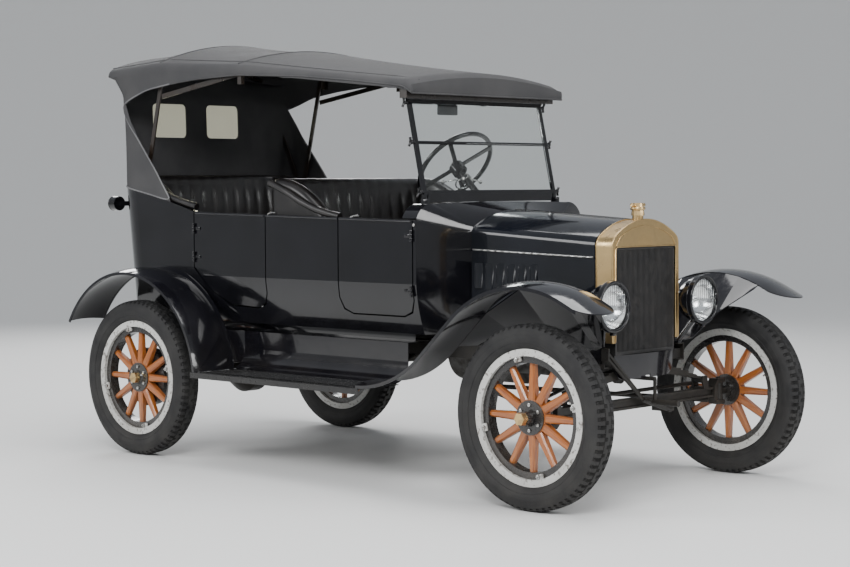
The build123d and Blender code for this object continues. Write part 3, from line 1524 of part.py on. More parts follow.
# columns: distance ahead of the front axle, distance of the foot from the middle, height of the foot
apron_stations = [
    (-520, rail_side + 2, foot_z),
    (-363, rail_side + 2, foot_z),
    (-180, rail_side + 2, foot_z),
    (0, rail_side + 2, foot_z),
    (60, 330, 655),
    (130, 430, 768),
    (231, 560, 868),
]
splash_z = 628
splash_top = 480
splash_radius = 90
splash_sheet = 3.7
splash_foot = board_inner + 24
arc_mid = splash_radius * sin(radians(45))
inner_mid = (splash_radius + splash_sheet) * sin(radians(45))
bend_y = splash_top + splash_radius
bend_z = board_top + splash_sheet + splash_radius
with BuildPart() as aprons:
    for side in (-1, 1):
        for ahead, foot_y, station_z in apron_stations:
            if ahead < front_arc_radius * cos(radians(front_arc_end)):
                end_x, end_z = arc_point(0, axle_z, apron_radius, front_arc_end)
                slope = -1 / tan(radians(front_arc_end))
                top_z = end_z + (ahead - end_x) * slope
            else:
                top_z = axle_z + sqrt(apron_radius ** 2 - ahead ** 2)
            with BuildSketch(Plane.YZ.offset(front_axle_x + ahead)):
                with BuildLine():
                    Polyline(
                        (side * foot_y, station_z), (side * apron_outer, top_z),
                        (side * apron_outer, top_z - apron_thickness),
                        (side * foot_y, station_z - apron_thickness),
                        close=True,
                    )
                make_face()
        loft(ruled=True)
    with BuildSketch(Plane.YZ.offset(front_axle_x - 520)):
        with Locations((rail_side, rail_bottom + 20), (-rail_side - 4, rail_bottom + 20)):
            Rectangle(4, foot_z - rail_bottom - 20, align=(Align.MIN, Align.MIN))
    extrude(amount=550)
    with BuildSketch(Plane.YZ.offset(board_rear_x)):
        for side in (-1, 1):
            with BuildLine():
                Polyline(
                    (side * (splash_top - splash_sheet), bend_z),
                    (side * (splash_top - splash_sheet), splash_z - splash_sheet),
                    (side * rail_side, splash_z - splash_sheet), (side * rail_side, splash_z),
                    (side * splash_top, splash_z), (side * splash_top, bend_z),
                )
                ThreePointArc(
                    (side * splash_top, bend_z), (side * (bend_y - arc_mid), bend_z - arc_mid),
                    (side * bend_y, bend_z - splash_radius),
                )
                Polyline(
                    (side * bend_y, bend_z - splash_radius), (side * splash_foot, bend_z - splash_radius),
                    (side * splash_foot, board_top), (side * bend_y, board_top),
                )
                ThreePointArc(
                    (side * bend_y, board_top), (side * (bend_y - inner_mid), bend_z - inner_mid),
                    (side * (splash_top - splash_sheet), bend_z),
                )
            make_face()
    extrude(amount=board_front_x - board_rear_x)
aprons.part.label = "aprons"
export_step(aprons.part, "parts/aprons.step")

# Running boards: pressed sheets with edges turned down and a raised tread field, under the fenders' feet
board_over = 16
field_margin = 34
field_end_margin = 44
field_rise = 2
board_middle_x = (board_front_x + board_rear_x) / 2
board_middle_y = (board_inner + fender_half_width) / 2
board_length = board_front_x - board_rear_x
board_width = fender_half_width - board_inner
with BuildPart() as running_boards:
    with BuildSketch(Plane.XY.offset(board_top - seat_gap - board_sheet)):
        with Locations((board_middle_x, -board_middle_y), (board_middle_x, board_middle_y)):
            Rectangle(board_length + 2 * board_over, board_width)
    extrude(amount=board_sheet)
    with BuildSketch(Plane.XY.offset(board_top - seat_gap)):
        with Locations((board_middle_x, -board_middle_y), (board_middle_x, board_middle_y)):
            RectangleRounded(board_length - 2 * field_end_margin, board_width - 2 * field_margin, 20)
    extrude(amount=field_rise)
    with BuildSketch(Plane.YZ.offset(board_rear_x - board_over)):
        for side in (-1, 1):
            flange_y = fender_half_width - board_sheet / 2
            with Locations((side * flange_y, board_top - seat_gap - board_flange / 2)):
                Rectangle(board_sheet, board_flange)
    extrude(amount=board_length + 2 * board_over)
running_boards.part.label = "running_boards"
export_step(running_boards.part, "parts/running_boards.step")

# Lamps: two headlamp buckets on posts that stand on the rails, and the small tail lamp
lamp_wall = 4
# columns: distance behind the lens plane, outside radius of the bucket
bucket_outline = [(14, 104), (50, 97), (80, 80), (104, 52), (118, 22), (120, 0)]
post_top = Vector(headlamp_x - 52, headlamp_y, headlamp_z - 92)
post_foot = Vector(front_axle_x + 18, frame_half_width - 16, frame_top + 8)
post_radius = 10
tail_lamp_x = rear_axle_x - 428
tail_lamp_y = -505
tail_lamp_z = 1250
tail_lamp_radius = 37
tail_lamp_depth = 50
tail_arm_y = -432
with BuildPart() as lamps:
    for side in (-1, 1):
        with BuildSketch(Plane.XY.offset(headlamp_z)):
            with BuildLine():
                y = side * headlamp_y
                Polyline(
                    (headlamp_x - 120, y),
                    *[(headlamp_x - back, y + r) for back, r in bucket_outline[::-1]][1:],
                    (headlamp_x - 14, y + headlamp_radius), (headlamp_x + 6, y + headlamp_radius),
                    (headlamp_x + 6, y + lens_radius - 4), (headlamp_x + 4, y + lens_radius - 4),
                    (headlamp_x + 4, y + lens_radius), (headlamp_x - 2, y + lens_radius),
                    *[(headlamp_x - back + lamp_wall, y + r - lamp_wall) for back, r in bucket_outline[:-1]],
                    (headlamp_x - 120 + lamp_wall, y), close=True,
                )
            make_face()
        revolve(axis=Axis((headlamp_x, side * headlamp_y, headlamp_z), (1, 0, 0)))
        top = Vector(post_top.X, side * post_top.Y, post_top.Z)
        foot = Vector(post_foot.X, side * post_foot.Y, post_foot.Z)
        with BuildSketch(Plane(origin=foot, z_dir=top - foot)):
            Circle(post_radius)
        extrude(amount=(top - foot).length)
    with BuildSketch(Plane.XY.offset(frame_top + seat_gap)):
        for side in (-1, 1):
            with Locations((post_foot.X, side * (frame_half_width - 21))):
                Rectangle(40, 40)
    extrude(amount=8)
    with BuildSketch(Plane.YZ.offset(tail_lamp_x)):
        with Locations((tail_lamp_y, tail_lamp_z)):
            Circle(tail_lamp_radius)
            Circle(tail_lamp_radius - 4, mode=Mode.SUBTRACT)
    extrude(amount=-tail_lamp_depth)
    with BuildSketch(Plane.YZ.offset(tail_lamp_x)):
        with Locations((tail_lamp_y, tail_lamp_z)):
            Circle(tail_lamp_radius)
    extrude(amount=-lamp_wall)
    with BuildSketch(Plane.XY.offset(tail_lamp_z - 12)):
        with BuildLine():
            Polyline(
                (tail_lamp_x + 30, tail_arm_y - 14), (tail_lamp_x + 30, tail_arm_y + 14),
                (tail_lamp_x - 2, tail_arm_y + 14), (tail_lamp_x - 10, tail_lamp_y - 12),
                (tail_lamp_x + 10, tail_lamp_y - 12), close=True,
            )
        make_face()
    extrude(amount=24)
    add(body_outer, mode=Mode.SUBTRACT)
lamps.part.label = "lamps"
export_step(lamps.part, "parts/lamps.step")

# Lamp lenses: glass discs held in the bezels
lens_thickness = 5
with BuildPart() as lamp_lenses:
    for side in (-1, 1):
        with BuildSketch(Plane.YZ.offset(headlamp_x - 1.5)):
            with Locations((side * headlamp_y, headlamp_z)):
                Circle(lens_radius - seat_gap)
        extrude(amount=lens_thickness)
    with BuildSketch(Plane.YZ.offset(tail_lamp_x - tail_lamp_depth + 2)):
        with Locations((tail_lamp_y, tail_lamp_z)):
            Circle(tail_lamp_radius - 4 - seat_gap)
    extrude(amount=4)
lamp_lenses.part.label = "lamp_lenses"
export_step(lamp_lenses.part, "parts/lamp_lenses.step")

# Starting crank: a shaft from the engine under the radiator, its throw hanging down, and the grip
crank_throw = 100
crank_x = front_axle_x + 95
grip_radius = 13
grip_length = 110
with BuildPart() as starting_crank:
    with BuildSketch(Plane.YZ.offset(engine_front + boss_length + seat_gap)):
        with Locations((0, crank_z)):
            Circle(crank_radius)
    extrude(amount=crank_x - engine_front - boss_length)
    with BuildSketch(Plane.XY.offset(crank_z - crank_throw)):
        with Locations((crank_x - 2, 0)):
            Circle(crank_radius - 1)
    extrude(amount=crank_throw)
    with BuildSketch(Plane.YZ.offset(crank_x - 14)):
        with Locations((0, crank_z - crank_throw)):
            Circle(crank_radius + 1)
    extrude(amount=24 + grip_length)
    with BuildSketch(Plane.YZ.offset(crank_x + 14)):
        with Locations((0, crank_z - crank_throw)):
            Circle(grip_radius)
    extrude(amount=grip_length)
starting_crank.part.label = "starting_crank"
export_step(starting_crank.part, "parts/starting_crank.step")

# Brace: two rods from a plate on the right rail across to a clamp under the front axle
brace_x = front_axle_x + 56
brace_radius = 7
brace_pitch = 26
brace_top = Vector(brace_x, -frame_half_width - 6, 634)
brace_knee = Vector(brace_x, -30, 404)
brace_end = Vector(brace_x, 160, 346)
with BuildPart() as axle_brace:
    with BuildSketch(Plane.XZ.offset(rail_side)):
        with Locations((front_axle_x + 51, 617)):
            Rectangle(38, 54)
    extrude(amount=8)
    for shift in (0, brace_pitch):
        start = brace_top - Vector(0, 0, shift)
        end = brace_knee - Vector(0, 0, shift if shift == 0 else 6)
        with BuildSketch(Plane(origin=start, z_dir=end - start)):
            Circle(brace_radius)
        extrude(amount=(end - start).length)
    with BuildSketch(Plane(origin=brace_knee - Vector(0, 10, -3), z_dir=brace_end - brace_knee)):
        Circle(brace_radius + 5)
    extrude(amount=(brace_end - brace_knee).length + 20)
    with BuildSketch(Plane.XY.offset(axle_under - seat_gap - 26)):
        with Locations((front_axle_x + 18, 164)):
            Rectangle(90, 44)
    extrude(amount=26)
axle_brace.part.label = "axle_brace"
export_step(axle_brace.part, "parts/axle_brace.step")
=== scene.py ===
from math import asin, atan, atan2, cos, exp, pi, radians, sin, sqrt

import bpy
from mathutils import Matrix, Vector


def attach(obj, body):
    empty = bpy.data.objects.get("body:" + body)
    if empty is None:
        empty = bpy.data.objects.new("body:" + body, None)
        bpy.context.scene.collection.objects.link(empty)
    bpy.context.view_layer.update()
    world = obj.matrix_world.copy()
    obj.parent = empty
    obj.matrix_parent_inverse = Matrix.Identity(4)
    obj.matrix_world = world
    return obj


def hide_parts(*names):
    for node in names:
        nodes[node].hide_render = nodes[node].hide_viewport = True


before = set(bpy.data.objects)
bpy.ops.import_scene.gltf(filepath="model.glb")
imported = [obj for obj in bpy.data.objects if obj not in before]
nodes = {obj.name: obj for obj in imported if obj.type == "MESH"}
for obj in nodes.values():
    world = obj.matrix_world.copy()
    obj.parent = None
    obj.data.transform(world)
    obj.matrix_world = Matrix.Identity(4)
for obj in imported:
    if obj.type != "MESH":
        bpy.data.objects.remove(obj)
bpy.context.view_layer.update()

# The car's driving sizes, in metres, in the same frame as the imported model
front_axle_x = 1.335
rear_axle_x = -1.205
axle_z = 0.386
wheel_y = 0.711
corners = {
    "front_left": (front_axle_x, 1),
    "front_right": (front_axle_x, -1),
    "rear_left": (rear_axle_x, 1),
    "rear_right": (rear_axle_x, -1),
}
hands = {"left": 1, "right": -1}


# Node helpers and the node groups shared by the finishes
def start_group(name, output, **floats):
    """A shader node group with float inputs and one output, ready for its nodes."""
    group = bpy.data.node_groups.new(name, "ShaderNodeTree")
    for socket, value in floats.items():
        item = group.interface.new_socket(socket, in_out="INPUT", socket_type="NodeSocketFloat")
        item.default_value = value
    group.interface.new_socket(output, in_out="OUTPUT", socket_type="NodeSocketFloat")
    return group, group.nodes.new("NodeGroupInput").outputs, group.nodes.new("NodeGroupOutput").inputs[0]


def feed(tree, socket, value):
    """Give a socket a number, a colour or another node's output."""
    if isinstance(value, (int, float)):
        socket.default_value = value
    elif isinstance(value, tuple):
        socket.default_value = (*value, 1.0)
    else:
        tree.links.new(value, socket)


def feed_all(tree, node, **values):
    """Feed a node's inputs by name, with underscores for spaces."""
    for name, value in values.items():
        feed(tree, node.inputs[name.replace("_", " ")], value)


def math_node(tree, operation, *values):
    """One Math node fed by sockets or plain numbers."""
    node = tree.nodes.new("ShaderNodeMath")
    node.operation = operation
    for slot, value in enumerate(values):
        feed(tree, node.inputs[slot], value)
    return node.outputs[0]


def times(tree, first, second):
    """The product of two values."""
    return math_node(tree, "MULTIPLY", first, second)


def object_point(tree):
    """The point on the car, in metres."""
    return tree.nodes.new("ShaderNodeTexCoord").outputs["Object"]


def axis_values(tree, point):
    """The X, Y and Z of a point, by name."""
    split = tree.nodes.new("ShaderNodeSeparateXYZ")
    tree.links.new(point, split.inputs[0])
    return split.outputs


def noise_value(tree, scale, detail, point=None):
    """Noise between 0 and 1 at a point, or else at the point on the car."""
    noise = tree.nodes.new("ShaderNodeTexNoise")
    at = object_point(tree) if point is None else point
    feed_all(tree, noise, Vector=at, Scale=scale, Detail=detail)
    return noise.outputs["Fac"]


def ramp_between(tree, value, low, high, to_low=0.0, to_high=1.0):
    """Map a value from low..high on to to_low..to_high, held at the ends."""
    node = tree.nodes.new("ShaderNodeMapRange")
    feed_all(tree, node, Value=value, From_Min=low, From_Max=high, To_Min=to_low, To_Max=to_high)
    return node.outputs["Result"]


def make_mottle_group():
    """Broken patches: Scale sets their size, Low and High how much of the surface they cover."""
    group, given, result = start_group("mottle", "Mask", Scale=20.0, Low=0.4, High=0.65)
    broad = noise_value(group, given["Scale"], 5.0)
    group.links.new(ramp_between(group, broad, given["Low"], given["High"]), result)
    return group


def make_dust_group():
    """Road dust that thins out with height above the ground and gathers in patches."""
    group, given, result = start_group("road_dust", "Mask", Top=0.7, Strength=0.6)
    fall = ramp_between(group, axis_values(group, object_point(group))["Z"], given["Top"], 0.0)
    drifts = ramp_between(group, noise_value(group, 9.0, 6.0), 0.35, 0.75)
    specks = ramp_between(group, noise_value(group, 140.0, 3.0), 0.45, 0.7)
    spread = math_node(group, "MULTIPLY_ADD", drifts, 0.7, 0.15)
    spread = math_node(group, "ADD", spread, times(group, specks, 0.25))
    group.links.new(times(group, times(group, fall, spread), given["Strength"]), result)
    return group


def make_weave_group():
    """Threads over and under, from the piece's own UV map: Threads is their phase in radians per metre."""
    group, given, result = start_group("weave", "Height", Threads=900.0)
    axes = axis_values(group, group.nodes.new("ShaderNodeTexCoord").outputs["UV"])
    warp, weft = (math_node(group, "SINE", times(group, axes[axis], given["Threads"])) for axis in "XY")
    group.links.new(times(group, warp, weft), result)
    return group


def make_grain_group():
    """Leather grain: small cells with creases between them."""
    group, given, result = start_group("leather_grain", "Height", Scale=260.0)
    cells = group.nodes.new("ShaderNodeTexVoronoi")
    cells.feature = "DISTANCE_TO_EDGE"
    feed_all(group, cells, Vector=object_point(group), Scale=given["Scale"])
    group.links.new(ramp_between(group, cells.outputs["Distance"], 0.0, 0.25), result)
    return group


mottle_group = make_mottle_group()
dust_group = make_dust_group()
weave_group = make_weave_group()
grain_group = make_grain_group()


# Finishes
def start_finish(name, roughness=0.5, metallic=0.0):
    """A material with its Principled shader."""
    material = bpy.data.materials.new(name)
    material.use_nodes = True
    shader = material.node_tree.nodes["Principled BSDF"]
    feed_all(material.node_tree, shader, Roughness=roughness, Metallic=metallic)
    return material, material.node_tree, shader


def place_group(tree, group, **values):
    """A shared group placed in a material with its own values."""
    node = tree.nodes.new("ShaderNodeGroup")
    node.node_tree = group
    feed_all(tree, node, **values)
    return node.outputs[0]


def patches(tree, scale, low, high):
    """The mask of a mottle group."""
    return place_group(tree, mottle_group, Scale=scale, Low=low, High=high)


def mix_colours(tree, mask, first, second):
    """Blend two colours, given as tuples or sockets, by a mask."""
    node = tree.nodes.new("ShaderNodeMix")
    node.data_type = "RGBA"
    for socket, value in (("Factor", mask), (6, first), (7, second)):
        feed(tree, node.inputs[socket], value)
    return node.outputs[2]


def dusty(tree, top, strength, colour, dust_colour):
    """A colour under road dust that reaches up to a height."""
    dust = place_group(tree, dust_group, Top=top, Strength=strength)
    return mix_colours(tree, dust, colour, dust_colour)


def rough_by(tree, mask, fresh, worn):
    """Roughness that goes from fresh to worn by a mask."""
    return ramp_between(tree, mask, 0.0, 1.0, fresh, worn)


def bump_from(tree, shader, height, strength, distance):
    """Feed the shader's normal from a height."""
    bump = tree.nodes.new("ShaderNodeBump")
    feed_all(tree, bump, Strength=strength, Distance=distance, Height=height)
    tree.links.new(bump.outputs["Normal"], shader.inputs["Normal"])


def paint_finish(name, colour, second, rough, coat, dust, wave=0.0):
    """Enamel on sheet metal in two close tones, with a faint hand-finished wave.

    rough is the roughness fresh and worn, dust the height it reaches and its strength.
    """
    material, tree, shader = start_finish(name)
    tone = mix_colours(tree, patches(tree, 6.0, 0.35, 0.7), colour, second)
    dirt = place_group(tree, dust_group, Top=dust[0], Strength=dust[1])
    gloss = rough_by(tree, patches(tree, 34.0, 0.42, 0.72), *rough)
    feed_all(
        tree, shader, Coat_Weight=coat, Coat_Roughness=0.05, Specular_IOR_Level=0.3,
        Base_Color=mix_colours(tree, dirt, tone, (0.16, 0.135, 0.105)),
        Roughness=math_node(tree, "ADD", gloss, times(tree, dirt, 0.6)),
    )
    if wave:
        bump_from(tree, shader, noise_value(tree, 3.5, 2.0), wave, 0.004)
    return material


def metal_finish(name, colour, tarnish, rough, scale, metallic=1.0, brushed=0.0):
    """Bare or plated metal with tarnish in patches and fine scratches."""
    material, tree, shader = start_finish(name, rough, metallic)
    mask = patches(tree, scale, 0.38, 0.7)
    fine = noise_value(tree, 420.0, 2.0)
    broad = rough_by(tree, mask, rough, rough + 0.16)
    feed_all(
        tree, shader, Base_Color=mix_colours(tree, mask, colour, tarnish),
        Roughness=math_node(tree, "ADD", broad, times(tree, fine, 0.06)),
    )
    if brushed:
        bump_from(tree, shader, fine, brushed, 0.0004)
    return material


def rim_finish():
    """Grey-white band paint on the demountable rims, dusty and chipped."""
    material, tree, shader = start_finish("rim_band_paint", 0.5)
    chips = patches(tree, 70.0, 0.56, 0.66)
    band = mix_colours(tree, chips, (0.52, 0.52, 0.50), (0.16, 0.15, 0.14))
    colour = dusty(tree, 0.9, 0.5, band, (0.24, 0.21, 0.17))
    feed_all(tree, shader, Base_Color=colour, Roughness=rough_by(tree, chips, 0.4, 0.65))
    return material


def rubber_finish():
    """Weathered tyre rubber in two greys, with fine cracks."""
    material, tree, shader = start_finish("weathered_rubber", 0.8)
    mask = patches(tree, 14.0, 0.4, 0.7)
    rubber = mix_colours(tree, mask, (0.011, 0.011, 0.012), (0.028, 0.028, 0.028))
    feed_all(
        tree, shader, Specular_IOR_Level=0.3, Roughness=rough_by(tree, mask, 0.62, 0.85),
        Base_Color=dusty(tree, 0.9, 0.16, rubber, (0.14, 0.125, 0.105)),
    )
    bump_from(tree, shader, noise_value(tree, 320.0, 4.0), 0.25, 0.0008)
    return material


def wood_finish(name, centre, light, dark):
    """Varnished wood whose grain runs outwards from a centre."""
    material, tree, shader = start_finish(name, 0.3)
    place = tree.nodes.new("ShaderNodeMapping")
    place.inputs["Location"].default_value = (-centre[0], -centre[1], -centre[2])
    tree.links.new(object_point(tree), place.inputs["Vector"])
    axes = axis_values(tree, place.outputs[0])
    turn = math_node(tree, "ARCTAN2", axes["Z"], axes["X"])
    reach = tree.nodes.new("ShaderNodeVectorMath")
    reach.operation = "LENGTH"
    tree.links.new(place.outputs[0], reach.inputs[0])
    grain_at = tree.nodes.new("ShaderNodeCombineXYZ")
    length = reach.outputs["Value"]
    for axis, value, stretch in (("X", turn, 9.0), ("Y", axes["Y"], 40.0), ("Z", length, 3.0)):
        tree.links.new(times(tree, value, stretch), grain_at.inputs[axis])
    grain = noise_value(tree, 2.6, 8.0, grain_at.outputs[0])
    streak = ramp_between(tree, grain, 0.35, 0.68)
    wood = mix_colours(tree, streak, light, dark)
    feed_all(
        tree, shader, Coat_Weight=0.5, Coat_Roughness=0.12, Roughness=rough_by(tree, streak, 0.26, 0.4),
        Base_Color=dusty(tree, 0.8, 0.35, wood, (0.2, 0.16, 0.12)),
    )
    bump_from(tree, shader, grain, 0.15, 0.0006)
    return material


def hub_finish(cap_start):
    """Black hub and felloe whose screw cap, further out than cap_start from the wheel's plane, is brass."""
    material, tree, shader = start_finish("hub_black_and_brass", 0.3)
    out = math_node(tree, "ABSOLUTE", axis_values(tree, object_point(tree))["Y"])
    is_cap = math_node(tree, "GREATER_THAN", out, wheel_y + cap_start)
    worn = patches(tree, 50.0, 0.45, 0.7)
    black = dusty(tree, 0.8, 0.5, (0.010, 0.010, 0.011), (0.12, 0.10, 0.08))
    yellow = mix_colours(tree, worn, (0.62, 0.44, 0.20), (0.34, 0.23, 0.11))
    feed_all(
        tree, shader, Coat_Weight=0.3, Base_Color=mix_colours(tree, is_cap, black, yellow), Metallic=is_cap,
        Roughness=rough_by(tree, worn, 0.22, 0.42),
    )
    return material


def leather_finish():
    """Black leather with grain, sheen on the crowns and slightly browned wear."""
    material, tree, shader = start_finish("black_leather", 0.4)
    worn = patches(tree, 12.0, 0.45, 0.75)
    feed_all(
        tree, shader, Specular_IOR_Level=0.6, Roughness=rough_by(tree, worn, 0.28, 0.42),
        Base_Color=mix_colours(tree, worn, (0.006, 0.005, 0.005), (0.014, 0.012, 0.011)),
    )
    bump_from(tree, shader, place_group(tree, grain_group, Scale=240.0), 0.2, 0.0005)
    return material


def canvas_finish(name, outer, worn_tone):
    """Weathered rubberised canvas: a plain weave, faded patches and creases."""
    material, tree, shader = start_finish(name, 0.85)
    faded = patches(tree, 5.0, 0.35, 0.75)
    feed_all(
        tree, shader, Specular_IOR_Level=0.15, Roughness=rough_by(tree, faded, 0.74, 0.9),
        Base_Color=mix_colours(tree, faded, outer, worn_tone),
    )
    weave = place_group(tree, weave_group, Threads=2400.0)
    creases = times(tree, noise_value(tree, 7.0, 4.0), 6.0)
    bump_from(tree, shader, math_node(tree, "ADD", times(tree, weave, 0.12), creases), 0.5, 0.0015)
    return material


def glass_finish(name, tint, rough, flute=0.0, flute_low=0.0):
    """Clear glass, or lens glass with upright flutes above a height."""
    material, tree, shader = start_finish(name, rough)
    streaks = ramp_between(tree, noise_value(tree, 30.0, 3.0), 0.4, 0.8, rough, rough + 0.06)
    feed_all(tree, shader, Base_Color=tint, Transmission_Weight=1.0, IOR=1.45, Roughness=streaks)
    if flute:
        axes = axis_values(tree, object_point(tree))
        wave = math_node(tree, "SINE", times(tree, axes["Y"], flute))
        upper = math_node(tree, "GREATER_THAN", axes["Z"], flute_low)
        bump_from(tree, shader, times(tree, wave, upper), 0.35, 0.0012)
    return material


def core_finish():
    """Matt black radiator fins with fine cross tubes, painted lighter on their crests and darker in the
    grooves: painted highlight and painted shade.
    """
    material, tree, shader = start_finish("radiator_core_black", 0.6)
    fins = math_node(tree, "SINE", times(tree, axis_values(tree, object_point(tree))["Z"], 1500.0))
    worn = patches(tree, 30.0, 0.4, 0.7)
    shade = mix_colours(tree, worn, (0.010, 0.010, 0.011), (0.024, 0.022, 0.021))
    # Lighter grey on the fin crests and dark in the grooves, in step with the bump: painted highlight and
    # painted shade
    depth = ramp_between(tree, fins, -1.0, 1.0, 0.0, 0.35)
    feed_all(
        tree, shader, Base_Color=mix_colours(tree, depth, shade, (0.05, 0.048, 0.046)),
        Roughness=rough_by(tree, worn, 0.45, 0.7),
    )
    bump_from(tree, shader, fins, 0.6, 0.0012)
    return material


gloss_black = paint_finish(
    "gloss_black_enamel", (0.003, 0.003, 0.004), (0.006, 0.006, 0.008), (0.08, 0.16), 0.5, (0.75, 0.10), 0.05)
hood_black = paint_finish(
    "hood_black_enamel", (0.003, 0.004, 0.006), (0.007, 0.008, 0.012), (0.10, 0.18), 0.5, (0.6, 0.08), 0.08)
fender_black = paint_finish(
    "fender_black_enamel", (0.003, 0.003, 0.005), (0.007, 0.007, 0.010), (0.09, 0.2), 0.55, (0.9, 0.12), 0.06)
chassis_black = paint_finish(
    "chassis_black_paint", (0.006, 0.006, 0.006), (0.014, 0.013, 0.012), (0.32, 0.5), 0.0, (1.1, 0.22))
brass = metal_finish("satin_brass", (0.56, 0.40, 0.20), (0.44, 0.31, 0.15), 0.24, 14.0, 1.0, 0.1)
steel = metal_finish("bright_steel", (0.55, 0.55, 0.54), (0.30, 0.29, 0.27), 0.22, 60.0)
iron = metal_finish("dull_cast_iron", (0.09, 0.088, 0.085), (0.05, 0.045, 0.04), 0.62, 40.0, 0.6, 0.6)
rim_paint = rim_finish()
rubber = rubber_finish()
leather = leather_finish()
canvas = canvas_finish("weathered_black_canvas", (0.050, 0.050, 0.052), (0.068, 0.067, 0.068))
clear_glass = glass_finish("clear_glass", (0.93, 0.97, 0.96), 0.0)
lens_glass = glass_finish("fluted_lens_glass", (0.99, 1.0, 1.0), 0.14, 420.0, 0.828)
celluloid = glass_finish("aged_celluloid", (0.86, 0.82, 0.62), 0.12)
core_black = core_finish()
board_black = paint_finish(
    "running_board_black", (0.005, 0.005, 0.006), (0.010, 0.010, 0.010), (0.16, 0.34), 0.4, (0.7, 0.12))
bead_black = paint_finish(
    "bead_enamel", (0.006, 0.006, 0.008), (0.010, 0.010, 0.012), (0.06, 0.12), 1.0, (0.5, 0.1))
# The piping's pale grey, far lighter than the canvas, is a painted highlight of the sunlit edge; the bead
# itself is real piping
piping_painted_highlight = canvas_finish("canvas_piping_painted_highlight", (0.115, 0.115, 0.120), (0.19, 0.19, 0.19))
silvered = metal_finish("silvered_glass", (0.92, 0.93, 0.94), (0.80, 0.80, 0.79), 0.06, 18.0)
bulb_glass = glass_finish("bulb_glass", (0.95, 0.96, 0.95), 0.02)
bow_wood = wood_finish("dark_stained_bows", (0.0, 0.0, 0.0), (0.020, 0.013, 0.009), (0.010, 0.007, 0.005))
floor_mat = paint_finish(
    "rubber_floor_mat", (0.018, 0.017, 0.016), (0.03, 0.028, 0.026), (0.6, 0.8), 0.0, (1.2, 0.4))


def put_on(finish, names):
    """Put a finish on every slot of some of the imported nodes."""
    for name in names.split():
        for slot in nodes[name].material_slots:
            slot.material = finish


# columns: finish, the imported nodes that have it
for finish, names in [
    (chassis_black, "frame_rails frame_crossmembers front_axle steering_column springs radius_rods"),
    (chassis_black, "rear_axle seat_boxes starting_crank axle_brace knuckle_left knuckle_right"),
    (chassis_black, "tie_rod drop_arm"),
    (gloss_black, "hood_fittings cowl body_tub windscreen_frame lamps steering_wheel"),
    (gloss_black, "door_front_right door_rear_right door_rear_left"),
    (hood_black, "hood_top_left hood_top_right hood_side_left hood_side_right"),
    (fender_black, "radiator_apron fenders aprons"), (board_black, "running_boards"), (floor_mat, "floor"),
    (iron, "engine"), (brass, "radiator_shell"), (core_black, "radiator_core"), (bow_wood, "dash top_bows"),
    (leather, "seat_cushions seat_backs"), (canvas, "canopy"), (clear_glass, "windscreen_glass"),
    (celluloid, "rear_windows"), (lens_glass, "lamp_lenses"),
]:
    put_on(finish, names)
spoke_light, spoke_dark = (0.40, 0.118, 0.014), (0.22, 0.052, 0.007)
for corner, (wheel_x, side) in corners.items():
    centre = (wheel_x, side * wheel_y, axle_z)
    put_on(rubber, "tyre_" + corner)
    put_on(rim_paint, "rim_" + corner)
    put_on(wood_finish("varnished_spokes_" + corner, centre, spoke_light, spoke_dark), "spokes_" + corner)
    put_on(hub_finish(0.071 if corner.startswith("front") else 0.036), "hub_" + corner)


# Modelling helpers
def pick(piece):
    """Go to object mode with one piece selected and active, or none at all."""
    if bpy.context.object and bpy.context.object.mode != "OBJECT":
        bpy.ops.object.mode_set(mode="OBJECT")
    bpy.ops.object.select_all(action="DESELECT")
    if piece:
        piece.select_set(True)
        bpy.context.view_layer.objects.active = piece


def edit_all(piece):
    """Enter edit mode with the whole of a piece selected."""
    pick(piece)
    bpy.ops.object.mode_set(mode="EDIT")
    bpy.ops.mesh.select_all(action="SELECT")


def flip_faces(piece):
    """Turn all the faces of a piece round."""
    edit_all(piece)
    bpy.ops.mesh.flip_normals()
    bpy.ops.object.mode_set(mode="OBJECT")


def apply_place():
    """Put the place, turn and scale of the selected piece into its mesh."""
    bpy.ops.object.transform_apply(location=True, rotation=True, scale=True)


def apply_modifier(piece, kind, **values):
    """Add a modifier with its values and apply it."""
    pick(piece)
    modifier = piece.modifiers.new(kind.lower(), kind)
    for key, value in values.items():
        setattr(modifier, key, value)
    bpy.ops.object.modifier_apply(modifier=modifier.name)


def choose_faces(piece, test):
    """Enter edit mode with the faces selected whose centre passes a test."""
    pick(piece)
    bpy.ops.object.mode_set(mode="EDIT")
    bpy.ops.mesh.select_mode(type="FACE")
    bpy.ops.mesh.select_all(action="DESELECT")
    bpy.ops.object.mode_set(mode="OBJECT")
    for face in piece.data.polygons:
        face.select = bool(test(face.center))
    bpy.ops.object.mode_set(mode="EDIT")


def tidy_mesh(piece, distance=0.0001, close=False):
    """Merge doubles, close open ends if asked and turn all faces one way."""
    edit_all(piece)
    bpy.ops.mesh.remove_doubles(threshold=distance)
    if close:
        bpy.ops.mesh.fill_holes(sides=0)
        bpy.ops.mesh.select_all(action="SELECT")
    bpy.ops.mesh.normals_make_consistent(inside=False)
    bpy.ops.object.mode_set(mode="OBJECT")


def turn_outwards(piece, inside):
    """Flip an open sheet whose faces look towards a point inside it."""
    if sum((face.center - inside).dot(face.normal) * face.area for face in piece.data.polygons) < 0:
        flip_faces(piece)


def join(pieces):
    """Join pieces into the first one."""
    pick(None)
    for piece in pieces:
        piece.select_set(True)
    bpy.context.view_layer.objects.active = pieces[0]
    if len(pieces) > 1:
        bpy.ops.object.join()
    return pieces[0]


def settle(pieces, name, finish, body, angle=35):
    """Join pieces, put their place in the mesh, smooth and name them, and let them ride on their body."""
    piece = join(pieces if isinstance(pieces, list) else [pieces])
    pick(piece)
    apply_place()
    bpy.ops.object.shade_smooth_by_angle(angle=radians(angle))
    piece.name = name
    piece.data.name = name
    piece.data.materials.clear()
    piece.data.materials.append(finish)
    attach(piece, body)
    return piece


